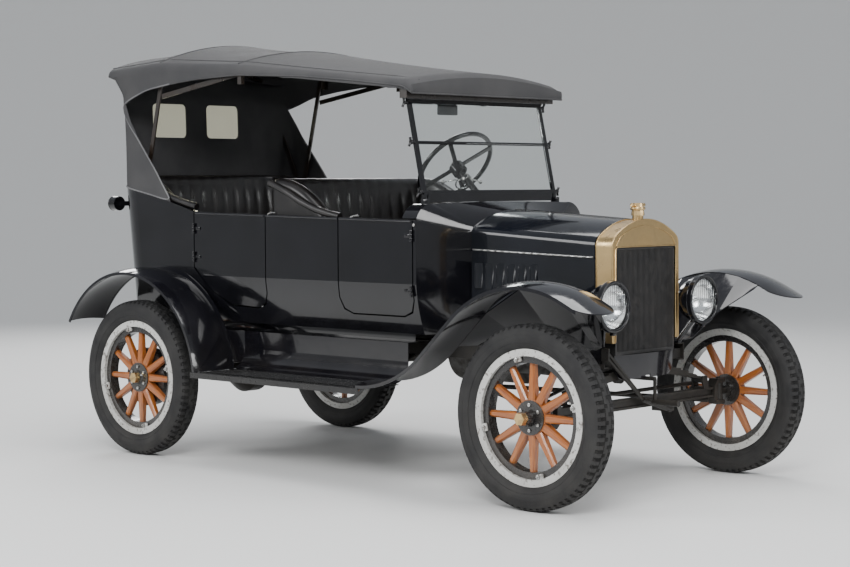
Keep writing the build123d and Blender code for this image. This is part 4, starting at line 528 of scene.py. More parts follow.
def block(low, high, bevel=0.002, segments=2, origin=(0, 0, 0)):
    """A box between two opposite corners, measured from an origin, with its edges eased."""
    pick(None)
    middle = [start + (a + b) / 2 for start, a, b in zip(origin, low, high)]
    bpy.ops.mesh.primitive_cube_add(size=1.0, location=middle)
    piece = bpy.context.object
    piece.scale = [abs(b - a) for a, b in zip(low, high)]
    apply_place()
    apply_modifier(piece, "BEVEL", width=bevel, segments=segments)
    return piece


def bar(start, end, radius, sides=16, ease=0.0, tip=None):
    """A round bar between two points, tapered to a tip radius if one is given, with eased ends."""
    pick(None)
    start = Vector(start)
    run = Vector(end) - start
    bpy.ops.mesh.primitive_cone_add(
        vertices=sides, radius1=radius, radius2=radius if tip is None else tip, depth=run.length,
        location=start + run / 2, rotation=run.to_track_quat("Z", "Y").to_euler(),
    )
    piece = bpy.context.object
    apply_place()
    if ease:
        apply_modifier(piece, "BEVEL", width=ease, segments=2, limit_method="ANGLE", angle_limit=radians(40))
    return piece


def ball(place, radius, segments, rings):
    """A ball at a place."""
    pick(None)
    bpy.ops.mesh.primitive_uv_sphere_add(
        segments=segments, ring_count=rings, radius=radius, location=place)
    return bpy.context.object


def curve_piece(points, radius=0.0, closed=False, smooth=True, sides=3):
    """A curve through or near points made a mesh: a round bead if it has a radius, and else a bare line."""
    pick(None)
    bpy.ops.curve.primitive_bezier_curve_add()
    piece = bpy.context.object
    curve = piece.data
    curve.dimensions = "3D"
    curve.splines.clear()
    spline = curve.splines.new("NURBS" if smooth else "POLY")
    spline.points.add(len(points) - 1)
    for point, place in zip(spline.points, points):
        point.co = (*place, 1.0)
    if smooth:
        spline.order_u = 3
        spline.use_endpoint_u = not closed
        spline.resolution_u = 5
    spline.use_cyclic_u = closed
    curve.bevel_depth = radius
    curve.bevel_resolution = sides
    curve.use_fill_caps = radius > 0
    bpy.ops.object.convert(target="MESH")
    return bpy.context.object


def bead(points, radius, side=1, origin=(0, 0, 0), **shape):
    """A round bead through points measured from an origin, with their Y towards a side of the car."""
    places = [(origin[0] + x, origin[1] + side * y, origin[2] + z) for x, y, z in points]
    return curve_piece(places, radius, **shape)


def turned(outline, centre, axis="Y", steps=48):
    """Spin a closed outline of (along, radius) points about an axis through a centre."""
    along = {"X": Vector((1, 0, 0)), "Y": Vector((0, 1, 0))}[axis]
    side = Vector((0, 0, 1))
    piece = curve_piece([along * a + side * r for a, r in outline], closed=True, smooth=False)
    edit_all(piece)
    bpy.ops.mesh.spin(steps=steps, angle=2 * pi, center=(0, 0, 0), axis=tuple(along))
    tidy_mesh(piece, 0.00002)
    piece.location = centre
    apply_place()
    return piece


def ring_section(along, radius, half_along, half_radius, steps):
    """Points round an oval section, to be turned into a ring."""
    turns = [step * 2 * pi / steps for step in range(steps)]
    return [(along + half_along * cos(turn), radius + half_radius * sin(turn)) for turn in turns]


def formed_grid(columns, rows, place, size):
    """A grid bent by place(u, v), with u across its columns, v up its rows, and a UV map size metres wide."""
    pick(None)
    bpy.ops.mesh.primitive_grid_add(x_subdivisions=columns, y_subdivisions=rows, size=2.0)
    piece = bpy.context.object
    shares = [((vertex.co.x + 1) / 2, (vertex.co.y + 1) / 2) for vertex in piece.data.vertices]
    layer = piece.data.uv_layers.active.data
    for loop in piece.data.loops:
        u, v = shares[loop.vertex_index]
        layer[loop.index].uv = (u * size[0], v * size[1])
    for vertex, (u, v) in zip(piece.data.vertices, shares):
        vertex.co = place(u, v)
    return piece


def nut(place, direction, radius, height):
    """A hexagonal nut with an eased top."""
    start = Vector(place)
    return bar(start, start + Vector(direction).normalized() * height, radius, sides=6, ease=radius * 0.12)


def moved_copy(piece, shift, flip=False):
    """A copy of a mesh moved by a shift, or mirrored to the other side of the car first."""
    twin = piece.copy()
    twin.data = piece.data.copy()
    bpy.context.scene.collection.objects.link(twin)
    for vertex in twin.data.vertices:
        if flip:
            vertex.co.y = -vertex.co.y
        vertex.co += Vector(shift)
    if flip:
        flip_faces(twin)
    return twin


def between(table, at, column):
    """Straight-line reading of a table sorted by its first column."""
    if at <= table[0][0]:
        return table[0][column]
    for low, high in zip(table, table[1:]):
        if at <= high[0]:
            share = (at - low[0]) / (high[0] - low[0])
            return low[column] + (high[column] - low[column]) * share
    return table[-1][column]


# Canvas top, measured by its distance behind the front axle
# columns: distance behind the axle, half-width, height of the edge, height of the crown
roof_table = [
    (0.850, 0.530, 1.786, 1.832), (0.885, 0.532, 1.806, 1.856), (1.970, 0.576, 1.918, 2.008),
    (2.545, 0.585, 1.950, 2.068), (3.010, 0.585, 1.925, 2.032), (3.060, 0.585, 1.900, 1.985),
]
# columns: height, distance of the tail behind the axle, corner radius
tail_table = [
    (1.150, 2.918, 0.20), (1.346, 2.935, 0.20), (1.800, 2.950, 0.19), (1.960, 3.045, 0.15),
    (2.100, 3.045, 0.15),
]
# Lower edge of the cloth along the side: distance behind the axle, height
valance_table = [
    (0.850, 1.745), (0.900, 1.776), (1.207, 1.813), (1.537, 1.845), (1.957, 1.868), (2.252, 1.860),
    (2.443, 1.845), (2.641, 1.820), (2.872, 1.744),
]
# Slanted front edge of the quarter: height, distance behind the axle
quarter_table = [(1.257, 2.452), (1.410, 2.569), (1.592, 2.725), (1.744, 2.872)]
top_front = 0.850
bow_places = (1.984, 2.559, 2.99)
tail_half = 0.585
corner_start = 2.70
shoulder_radius = 0.046
shoulder_height = 1.90
cloth_thickness = 0.004
cloth_sag = 0.008
wall_tuck = 0.006
fold_hem = 1.748
fold_half = 0.528
# Heights at which the tail's plan is read: at the body rail and at the roof
rail_level, roof_level = 1.3, 1.97
# The body rail under the quarter: where it starts to rise, over what length, low end, rise and bulge
rail_start, rail_run = 2.275, 0.66
rail_low, rail_rise, rail_bulge = 1.2125, 0.134, 0.045
window_places = (-0.185, 0.185)
window_size = (0.225, 0.178)
window_z = 1.686
window_behind = 2.94
cabin_middle = Vector((-0.7, 0.0, 1.5))
window_corner = 0.024
# Where the parts of the lower edge end, as shares of the way from the header to the middle of the tail
nose_share, valance_share, quarter_share = 0.02, 0.5, 0.68
nose_back = 0.03
valance_length = 1.992
quarter_top, quarter_drop = 1.744, 0.487
# Where the wall and the shoulder end, as shares of the way from the lower edge to the ridge
wall_share, shoulder_share = 0.36, 0.50


def tail_shape(height):
    """The tail's distance back, corner radius, run up to the corner, arc and length to the middle."""
    back, radius = (between(tail_table, height, column) for column in (1, 2))
    straight = back - radius - corner_start
    arc = radius * pi / 2
    return back, radius, straight, arc, straight + arc + tail_half - radius


def wall_point(run, height):
    """Plan point of the cloth's wall; run goes 0 to 1 along the side and 1 to 2 round the tail."""
    if run <= 1:
        behind = top_front + (corner_start - top_front) * run
        return behind, between(roof_table, behind, 1)
    back, radius, straight, arc, total = tail_shape(height)
    gone = (run - 1) * total
    if gone <= straight:
        return corner_start + gone, tail_half
    if gone <= straight + arc:
        turn = (gone - straight) / radius
        return back - radius + radius * sin(turn), tail_half - radius + radius * cos(turn)
    return back, tail_half - radius - (gone - straight - arc)


def wall_run(behind, height):
    """The run at which the wall lies a given distance behind the front axle."""
    if behind <= corner_start:
        return (behind - top_front) / (corner_start - top_front)
    back, radius, straight, _, total = tail_shape(height)
    if behind <= back - radius:
        return 1 + (behind - corner_start) / total
    return 1 + (straight + radius * asin(min(1.0, (behind - back + radius) / radius))) / total


def rail_height(behind):
    """Height of the body rail where the quarter and the tail curtain are tacked on."""
    rise = min(1.0, max(0.0, (behind - rail_start) / rail_run))
    return rail_low + rail_rise * rise + rail_bulge * rise * (1 - rise)


def roof_height(behind, off):
    """Height of the roof, with the cloth sagging a little between its bows."""
    half, edge, crown = (between(roof_table, behind, column) for column in (1, 2, 3))
    flat = 1 - min(1.0, abs(off) / half) ** 2
    sag = 0.0
    stations = (top_front, *bow_places)
    for low, high in zip(stations, stations[1:]):
        if low < behind < high:
            sag = sin(pi * (behind - low) / (high - low))
    return edge + (crown - edge) * flat - cloth_sag * sag * flat


def valance_back(share):
    """How far the valance has gone behind its front corner at a share of the way round."""
    return valance_length * (share - nose_share) / (valance_share - nose_share)


def lower_edge(share):
    """Run and height of the cloth's lower edge: valance, slanted quarter edge, then the body rail."""
    if share < valance_share:
        nose = min(1.0, share / nose_share)
        behind = top_front + nose_back * nose + max(0.0, valance_back(share))
        height = between(valance_table, behind, 1)
        return wall_run(behind, height), height
    if share < quarter_share:
        height = quarter_top - quarter_drop * (share - valance_share) / (quarter_share - valance_share)
        return wall_run(between(quarter_table, height, 1), height), height
    foot_height, foot_behind = quarter_table[0]
    start = wall_run(foot_behind, foot_height)
    run = start + (2 - start) * (share - quarter_share) / (1 - quarter_share)
    return run, rail_height(wall_point(run, rail_level)[0])


def upper_edge(share, low_run):
    """Run of the top of the wall above a point of the lower edge."""
    if share < valance_share:
        if low_run <= 1:
            return low_run
        return wall_run(top_front + nose_back + valance_back(share), shoulder_height)
    start = wall_run(quarter_table[-1][1], shoulder_height)
    return start + (2 - start) * (share - valance_share) / (1 - valance_share)


def top_cloth(u, v):
    """The whole top as one sheet: u goes round from right front by the tail to left front, v up and over."""
    side = -1 if u < 0.5 else 1
    share = 1 - abs(1 - 2 * u)
    low_run, low_height = lower_edge(share)
    high_run = upper_edge(share, low_run)
    behind, off = wall_point(high_run, roof_level)
    hub_behind = min(behind, corner_start)
    reach = sqrt((behind - hub_behind) ** 2 + off**2)

    def at(inward):
        """Plan point that far in from the wall towards the ridge."""
        keep = 1 - inward / reach
        return hub_behind + (behind - hub_behind) * keep, off * keep

    edge = roof_height(behind, off)
    slope = (roof_height(*at(shoulder_radius)) - edge) / shoulder_radius
    tilt = atan(slope)
    centre_height = edge + slope * shoulder_radius - shoulder_radius * sqrt(1 + slope**2)
    if v <= wall_share:
        rise = v / wall_share
        height = low_height + (centre_height - low_height) * rise
        behind, off = wall_point(low_run + (high_run - low_run) * rise, height)
        tuck = wall_tuck * sin(pi * rise) * min(1.0, (centre_height - low_height) / 0.4)
        return Vector((front_axle_x - behind, side * (off - tuck), height))
    if v <= shoulder_share:
        turn = (v - wall_share) / (shoulder_share - wall_share) * (pi / 2 - tilt)
        behind, off = at(shoulder_radius * (1 - cos(turn)))
        return Vector((front_axle_x - behind, side * off, centre_height + shoulder_radius * sin(turn)))
    start = shoulder_radius * (1 - sin(tilt))
    inner = (v - shoulder_share) / (1 - shoulder_share)
    behind, off = at(start + (reach - start) * inner)
    return Vector((front_axle_x - behind, side * off, roof_height(behind, off)))


def window_outline(middle, grow):
    """Rounded rectangle round a rear window, on the curtain."""
    half_w, half_h = (size / 2 + grow for size in window_size)
    radius = window_corner + grow
    places = []
    for quarter in range(4):
        centre_y = middle + (half_w - radius) * (1 if quarter in (0, 3) else -1)
        centre_z = window_z + (half_h - radius) * (1 if quarter < 2 else -1)
        for step in range(4):
            turn = (quarter + step / 3) * pi / 2
            y = centre_y + radius * cos(turn)
            z = centre_z + radius * sin(turn)
            places.append((front_axle_x - between(tail_table, z, 1), y, z))
    return places


def build_top():
    """The canvas top, the bindings of its windows and lower edge, and the piping tacked to the rail, whose
    pale grey is a painted highlight.
    """
    top = formed_grid(176, 58, top_cloth, (8.4, 1.9))
    tidy_mesh(top, 0.0004)
    turn_outwards(top, cabin_middle)
    area = sum(face.area for face in top.data.polygons)
    apply_modifier(top, "SOLIDIFY", thickness=cloth_thickness, offset=-1.0)
    corner = Vector((0.06, window_size[0] / 2, window_size[1] / 2))
    back_x = front_axle_x - window_behind
    cutter = join([
        block(-corner, corner, window_corner, 4, (back_x, middle, window_z)) for middle in window_places
    ])
    apply_modifier(top, "BOOLEAN", operation="DIFFERENCE", object=cutter, solver="EXACT")
    bpy.data.objects.remove(cutter)
    top = settle(top, "canvas_top", canvas, "car", 40)
    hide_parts("canopy")
    bindings = [
        curve_piece([(x - 0.0015, y, z) for x, y, z in window_outline(middle, grow)], 0.0022, closed=True)
        for middle in window_places for grow in (0.004, 0.016)
    ]
    hem_steps = 160
    right_end, left_start = 70, 90
    tack_behind = 2.45
    hem = [top_cloth(step / hem_steps, 0.0) for step in range(hem_steps + 1)]
    hem = [place + Vector((0, 0.001 if place.y > 0 else -0.001, 0.004)) for place in hem]
    tacked = [place for place in hem if place.x < front_axle_x - tack_behind]
    for half in (hem[:right_end], hem[left_start:]):
        free = [place for place in half if place not in tacked]
        bindings.append(curve_piece(free, 0.0036, sides=2))
    bound = settle(bindings, "canvas_bindings", canvas, "car", 50)
    # A real piping bead, coloured pale grey as a painted highlight along the sunlit quarter edge and rail
    piping = settle(curve_piece(tacked, 0.0042, sides=2), "canvas_piping", piping_painted_highlight, "car", 50)
    return top, bound, piping, area


def front_fold_place(u, v):
    """A point on the cloth turned down over the header: u across the car, v down to the hem."""
    off = -fold_half + 2 * fold_half * u
    crest = roof_height(top_front + 0.002, off) - 0.001
    ahead = 0.0015 + 0.003 * sin(pi * v)
    return Vector((front_axle_x - top_front + ahead, off, crest + (fold_hem - crest) * v))


def build_front_fold():
    """The front flap of the top, hemmed along its lower edge."""
    flap = formed_grid(40, 6, front_fold_place, (1.06, 0.09))
    tidy_mesh(flap)
    turn_outwards(flap, cabin_middle)
    apply_modifier(flap, "SOLIDIFY", thickness=cloth_thickness, offset=-1.0)
    hem = curve_piece([front_fold_place(step / 12, 1.0) for step in range(13)], 0.0042)
    return settle([flap, hem], "canvas_front_fold", canvas, "car", 50)


def roof_seam(plan, radius, lift):
    """A raised seam over plan points of the roof."""
    places = [(front_axle_x - behind, off, roof_height(behind, off) + lift) for behind, off in plan]
    return curve_piece(places, radius, sides=2)


def build_top_seams():
    """Raised seams over the first two bows and along both sides of the roof."""
    bow_inset, side_inset = 0.03, 0.075
    start, length = 0.87, 2.13
    seams = []
    for behind in bow_places[:2]:
        half = between(roof_table, behind, 1) - bow_inset
        plan = [(behind, -half + 2 * half * step / 16) for step in range(17)]
        seams.append(roof_seam(plan, 0.0026, 0.001))
    for side in (-1, 1):
        stations = [start + length * step / 23 for step in range(24)]
        plan = [(behind, side * (between(roof_table, behind, 1) - side_inset)) for behind in stations]
        seams.append(roof_seam(plan, 0.0022, 0.0005))
    return settle(seams, "canvas_seams", canvas, "car", 50)


# Leather seats
seat_half = 0.541
cushion_low = 0.987
cushion_high = 1.108
pleat_pitch = 0.078
cushion_pleat = 0.072
# Where the outer side, the rolled top and the pleated front of a back end, as shares of its section
outer_share, roll_share, front_share = 0.28, 0.56, 0.92
button_drop = 0.30
# Thickness of a back, how much thinner its arms are, and radius of its rolled top
back_thick, arm_thinner, roll = 0.098, 0.030, 0.036
# Swell of the front between and on the pleats, of the pleats on the roll, and depth of the buttons
belly_low, belly_pleat, roll_pleat, button_depth = 0.008, 0.0055, 0.004, 0.010
# How far the arms start in front of the back, and the length and thickness of their rounded ends
arm_start, end_length, end_thick = 0.05, 0.03, 0.45
back_gap = 0.018
cushion_gap = 0.014
cushion_crown, cushion_groove = 0.008, 0.007
# columns: name, front of the cushion, its rear, top of the back, its corner radius, front end of the arms
seats = [
    ("front", 0.005, -0.455, 1.374, 0.09, -0.045),
    ("rear", -1.015, -1.505, 1.397, 0.175, -1.095),
]


def back_path(run, rear, corner, arm_front):
    """Plan place, inward direction and length gone on the outer line of a back, from right arm to left."""
    back_x = rear - back_gap
    side_length = arm_front - back_x - corner
    arc = corner * pi / 2
    total = 2 * side_length + 2 * arc + 2 * (seat_half - corner)
    gone = run * total
    mirror = gone > total / 2
    if mirror:
        gone = total - gone
    if gone <= side_length:
        place, inward = (arm_front - gone, -seat_half), (0.0, 1.0)
    elif gone <= side_length + arc:
        turn = (gone - side_length) / corner
        place = (back_x + corner - corner * sin(turn), -seat_half + corner - corner * cos(turn))
        inward = (sin(turn), cos(turn))
    else:
        place, inward = (back_x, -seat_half + corner + gone - side_length - arc), (1.0, 0.0)
    if mirror:
        place, inward = (place[0], -place[1]), (inward[0], -inward[1])
    return place, inward, run * total


def seat_back(name, rear, top, corner, arm_front):
    """A pleated leather back that wraps round into arms, with a plain outer side and a rolled top."""
    arm_low = cushion_high + 0.072
    total = back_path(1.0, rear, corner, arm_front)[2]

    def place(u, v):
        """A point on the leather: u along the back, v up its outer side, over the roll and down its front."""
        (x, y), inward, gone = back_path(u, rear, corner, arm_front)
        along = min(1.0, max(0.0, (x - rear - arm_start) / (arm_front - rear - arm_start)))
        crest = top - (top - arm_low) * along**2.0
        wall = crest - roll - cushion_high
        thick = back_thick - arm_thinner * along
        end = min(1.0, min(u, 1 - u) * total / end_length)
        squeeze = end_thick + (1 - end_thick) * sqrt(max(0.0, 1 - (1 - end) ** 2))
        pleat = sqrt(abs(sin(pi * gone / pleat_pitch)))
        if v < outer_share:
            depth, height = 0.0, cushion_high + wall * v / outer_share
        elif v < roll_share:
            turn = (v - outer_share) / (roll_share - outer_share) * pi
            depth = roll - roll * cos(turn) + roll_pleat * pleat * sin(turn / 2)
            height = crest - roll + roll * sin(turn)
        elif v < front_share:
            drop = (v - roll_share) / (front_share - roll_share)
            belly = (belly_low + belly_pleat * pleat) * sin(pi * min(1.0, drop * 1.05)) ** 0.6
            dimple = button_depth * exp(-(((drop - button_drop) / 0.10) ** 2)) * (1 - pleat) ** 2
            depth = 2 * roll + (thick - 2 * roll) * drop + belly - dimple
            height = crest - roll - wall * drop
        else:
            depth, height = thick * (1 - v) / (1 - front_share), cushion_high
        middle = 0.5 * thick
        depth = middle + (depth - middle) * squeeze
        height = cushion_high + (height - cushion_high) * (0.9 + 0.1 * squeeze)
        return Vector((x + inward[0] * depth, y + inward[1] * depth, height))

    back = formed_grid(int(total / pleat_pitch * 7), 44, place, (total, 0.8))
    tidy_mesh(back, 0.0003, close=True)
    back = settle(back, f"{name}_seat_back", leather, "car", 60)
    button_share = roll_share + (front_share - roll_share) * button_drop
    buttons = [
        ball(place(count * pleat_pitch / total, button_share), 0.007, 12, 8)
        for count in range(3, int(total / pleat_pitch) - 2)
    ]
    settle(buttons, f"{name}_seat_buttons", leather, "car", 60)
    return back


def puffed_cushion(name, front, rear):
    """A sprung leather cushion: a soft block swollen by cloth pressure, then pressed into sewn pleats."""
    swell = 0.009
    frames = 14
    half = seat_half - cushion_gap - swell
    low = (rear + 0.012 + swell, -half, cushion_low + 0.004)
    high = (front - swell - 0.004, half, cushion_high - 0.012)
    pad = block(low, high, 0.035, 4)
    apply_modifier(pad, "REMESH", mode="VOXEL", voxel_size=0.0125)
    rest = [vertex.co.copy() for vertex in pad.data.vertices]
    pick(pad)
    cloth = pad.modifiers.new("cloth", "CLOTH")
    cloth.settings.use_pressure = True
    cloth.settings.uniform_pressure_force = 4.0
    cloth.settings.effector_weights.gravity = 0.0
    cloth.settings.quality = 4
    cloth.point_cache.frame_start = 1
    cloth.point_cache.frame_end = frames
    for moment in range(1, frames + 1):
        bpy.context.scene.frame_set(moment)
    bpy.ops.object.modifier_apply(modifier=cloth.name)
    bpy.context.scene.frame_set(1)
    for vertex, start in zip(pad.data.vertices, rest):
        shift = vertex.co - start
        if shift.length > swell:
            vertex.co = start + shift * (swell / shift.length)
        along = min(1.0, max(0.0, (start.x - rear) / (front - rear)))
        crown = (1 - (start.y / seat_half) ** 4) * sin(pi * along)
        if start.z > cushion_high - 0.05:
            pleat = sqrt(abs(sin(pi * (start.y + seat_half) / cushion_pleat)))
            vertex.co.z += cushion_crown * crown
            vertex.co.z -= cushion_groove * (1 - pleat)
        vertex.co.z = max(vertex.co.z, cushion_low)
    apply_modifier(pad, "SUBSURF", levels=1, render_levels=1)
    pad = settle(pad, f"{name}_seat_cushion", leather, "car", 60)
    half_y, round_off = seat_half - 0.03, 0.03
    places = [
        (-0.012, -half_y, 0), (-0.006, -half_y + round_off, 0), (-0.006, half_y - round_off, 0),
        (-0.012, half_y, 0),
    ]
    piping = bead(places, 0.0045, origin=(front, 0, cushion_high - 0.028), sides=2)
    settle(piping, f"{name}_cushion_piping", leather, "car", 60)
    return pad


def build_seats():
    """The backs and cushions of both seats."""
    made = []
    for name, front, rear, top, corner, arm_front in seats:
        made.append((seat_back(name, rear, top, corner, arm_front), "seat_backs"))
        made.append((puffed_cushion(name, front, rear), "seat_cushions"))
    for piece, node in made:
        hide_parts(node)


# Wheels
tread_steps = 144
tread_low = 0.372
groove = (0.015, 0.021)
tread_half = 0.0505


def build_tyre():
    """A clincher-sized tyre about the origin: bulged walls, and grooves sunk between its tread blocks."""
    half = [
        (0.000, 0.3860), (0.007, 0.3859), (0.015, 0.3855), (0.021, 0.3850), (0.029, 0.3841), (0.036, 0.3828),
        (0.044, 0.3795), (0.0505, 0.3700), (0.0560, 0.3580), (0.0590, 0.3450), (0.0600, 0.3340),
        (0.0585, 0.3200), (0.0540, 0.3060), (0.0455, 0.2930), (0.0385, 0.2860), (0.0350, 0.2840),
        (0.0350, 0.2600),
    ]
    tyre = turned([(-y, r) for y, r in half[::-1]] + half[1:], (0, 0, 0), "Y", tread_steps)

    def sunk(place):
        """Whether a face of the tread lies in one of its grooves."""
        if sqrt(place.x**2 + place.z**2) < tread_low:
            return False
        step = int((atan2(place.z, place.x) + pi) / (2 * pi) * tread_steps)
        across = abs(place.y)
        if groove[0] < across < groove[1]:
            return True
        if across < groove[0]:
            return (step + (2 if place.y > 0 else 0)) % 4 == 0
        return across < tread_half and (step + (0 if place.y > 0 else 1)) % 2 == 0

    choose_faces(tyre, sunk)
    bpy.ops.mesh.inset(thickness=0.0024, depth=-0.0058, use_even_offset=True, use_individual=True)
    bpy.ops.object.mode_set(mode="OBJECT")
    ribs = [
        turned([(y - 0.0012, r - 0.001), (y, r + 0.0016), (y + 0.0012, r - 0.001)], (0, 0, 0), "Y", 96)
        for y, r in ((0.0588, 0.3420), (-0.0588, 0.3420), (0.0560, 0.3120), (-0.0560, 0.3120))
    ]
    return join([tyre, *ribs])


def wheel_trim():
    """Rim lugs with their nuts, hub bolts and the valve stem of a right-hand wheel, about the origin."""
    lug_turn, lug_radius, hub_bolt_radius = 0.24, 0.243, 0.053
    outboard = (0, -1, 0)
    pale = []
    dark = []
    for step in range(4):
        turn = lug_turn + step * pi / 2
        out = Vector((cos(turn), 0, sin(turn))) * lug_radius
        lug = block((-0.017, -0.0385, 0.233), (0.017, -0.0255, 0.263), 0.004)
        pick(lug)
        bpy.ops.transform.rotate(value=turn - pi / 2, orient_axis="Y", center_override=(0, 0, 0))
        pale.append(lug)
        dark.append(nut(out + Vector((0, -0.0385, 0)), outboard, 0.010, 0.010))
        dark.append(bar(out + Vector((0, -0.045, 0)), out + Vector((0, -0.054, 0)), 0.0045, 12, 0.001))
    for step in range(6):
        turn = step * pi / 3 + pi / 6
        spot = (hub_bolt_radius * cos(turn), -0.0262, hub_bolt_radius * sin(turn))
        dark.append(nut(spot, outboard, 0.0085, 0.007))
    dark.append(bar((0.214, 0.0, 0.085), (0.185, 0.0, 0.074), 0.0042, 12, 0.001))
    made = []
    for pieces in (pale, dark):
        made.append(join(pieces))
        pick(made[-1])
        apply_place()
    return made


def build_wheels():
    """Tyres and trim for all four wheels."""
    tyre = build_tyre()
    pale, dark = wheel_trim()
    for corner, (wheel_x, side) in corners.items():
        shift = (wheel_x, side * wheel_y, axle_z)
        body = "wheel_" + corner
        ring = settle(moved_copy(tyre, shift), "tread_tyre_" + corner, rubber, body, 28)
        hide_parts("tyre_" + corner)
        settle(moved_copy(pale, shift, side > 0), "rim_lugs_" + corner, rim_paint, body)
        settle(moved_copy(dark, shift, side > 0), "wheel_bolts_" + corner, steel, body)
    for piece in (tyre, pale, dark):
        bpy.data.objects.remove(piece)


# Lamps, radiator and hood
lamp_y = 0.327
lamp_z = 0.825
lens_x = 1.454
tail_lamp = (-1.683, -0.505, 1.250)


def build_lamps():
    """Silvered reflectors with bulbs, bezel beads, and the feet of the bezels."""
    dish = [
        (-0.010, 0.0925), (-0.028, 0.087), (-0.046, 0.077), (-0.062, 0.062), (-0.074, 0.042), (-0.080, 0.014),
    ]
    shell = dish + [(a - 0.0025, r) for a, r in dish[::-1]]
    ring = ring_section(0.0055, 0.1035, 0.0035, 0.0045, 10)
    bright = []
    beads = []
    bulbs = []
    for side in (-1, 1):
        centre = Vector((lens_x, side * lamp_y, lamp_z))
        bright.append(turned(shell, centre, "X", 56))
        bright.append(bar(centre + Vector((-0.083, 0, 0)), centre + Vector((-0.052, 0, 0)), 0.011, 20, 0.002))
        bulbs.append(ball(centre + Vector((-0.040, 0, 0)), 0.016, 24, 16))
        beads.append(turned(ring, centre, "X", 64))
        beads.append(turned([(a - 0.020, r + 0.0035) for a, r in ring], centre, "X", 64))
        beads.append(block((-0.016, -0.010, -0.122), (0.006, 0.010, -0.106), 0.003, 2, centre))
    settle(bright, "lamp_reflectors", silvered, "car", 60)
    settle(bulbs, "lamp_bulbs", bulb_glass, "car", 60)
    settle(beads, "lamp_bezel_beads", gloss_black, "car", 60)
    tail_ring = turned(ring_section(0.002, 0.0345, 0.004, 0.004, 8), tail_lamp, "X", 40)
    settle(tail_ring, "tail_lamp_bead", gloss_black, "car", 60)


def build_radiator():
    """Beads round the core and the shell, and the filler cap with its wings."""
    front = 1.3805
    half_w, low, high = 0.219, 0.664, 1.070
    top, spring = 1.187, 0.111
    crown_end, crown_drop = 0.218, 0.069
    inset = 0.027
    cap_x, cap_z = 1.335, 1.206

    def both_ways(right):
        """Points up the right side, followed by their mirror images down the left."""
        return right + [(x, -y, z) for x, y, z in right[::-1]]

    opening = both_ways([(front, -half_w, low), (front, -half_w, high - 0.01), (front, -half_w + 0.01, high)])
    bright = [curve_piece(opening, 0.0032, smooth=False)]
    rim_x = front - 0.002
    crown = [-crown_end + crown_end * step / 6 for step in range(13)]
    foot = [(rim_x, -0.2405, 0.665), (rim_x, -0.240, top - spring), (rim_x, -0.2345, top - 0.088)]
    rim = both_ways(foot)
    rim[3:3] = [(rim_x, y, top - crown_drop * (y / crown_end) ** 2) for y in crown]
    bright.append(curve_piece(rim, 0.0035))
    bright.append(curve_piece([(x - 0.0845, y, z) for x, y, z in rim], 0.0030))
    side_line = [(front, -half_w + 0.004, high + 0.006), (front, -half_w + 0.006, top - spring + 0.004)]
    panel = both_ways(side_line)
    crown = [-0.190 + 0.038 * step for step in range(11)]
    panel[2:2] = [(front, y, top - inset - crown_drop * (y / crown_end) ** 2 * 0.94) for y in crown]
    bright.append(curve_piece(panel, 0.0026, sides=2))
    ring = [(0.0, 0.0315), (0.003, 0.0335), (0.009, 0.0335), (0.012, 0.0315), (0.012, 0.020), (0.0, 0.020)]
    cap = turned(ring, (0, 0, 0), "X", 48)
    pick(cap)
    bpy.ops.transform.rotate(value=-pi / 2, orient_axis="Y", center_override=(0, 0, 0))
    cap.location = (cap_x, 0, cap_z - min(vertex.co.z for vertex in cap.data.vertices))
    bright.append(cap)
    for side in (-1, 1):
        wing = ((cap_x, side * 0.018, 1.240), (cap_x, side * 0.047, 1.250))
        bright.append(bar(*wing, 0.0065, 16, 0.002, 0.0085))
    settle(bright, "radiator_beads_and_cap", brass, "car", 50)


hood_front = 1.284
hood_length = 0.644
# Half-width of the hood and height of its hinges: at the front, and the growth up to the cowl
hood_half, hood_spread = 0.240, 0.065
hinge_height, hinge_rise = 1.026, 0.024
hinge_pitch, hinge_leaf = 0.0395, 0.0385
louvre_start, louvre_pitch = 0.962, 0.059
latch_backs, handle_back = (0.05, 0.59), 0.32
# A louvre's lip, a latch's hook and the lifting handle: ahead, outwards and height along each bead
louvre_lip = [(0.0005, -0.010, 0.8775), (0, 0, 0.884), (0, 0, 0.933), (0, 0, 0.982), (0.0005, -0.010, 0.9885)]
latch_hook = [(0, 0.010, 0.757), (0.004, 0.018, 0.742), (0, 0.012, 0.724)]
hood_handle = [
    (-0.045, 0, 0.790), (-0.040, 0.022, 0.792), (0, 0.026, 0.794), (0.040, 0.020, 0.792),
    (0.045, -0.004, 0.790),
]


def hood_side_line(back):
    """Half-width of the hood and height of its hinge at a distance behind its front edge."""
    share = back / hood_length
    return hood_half + hood_spread * share, hinge_height + hinge_rise * share


def hood_side_place(back, out, side):
    """A place outside a side panel, at the floor's height."""
    return hood_front - back, side * (hood_side_line(back)[0] + out), 0


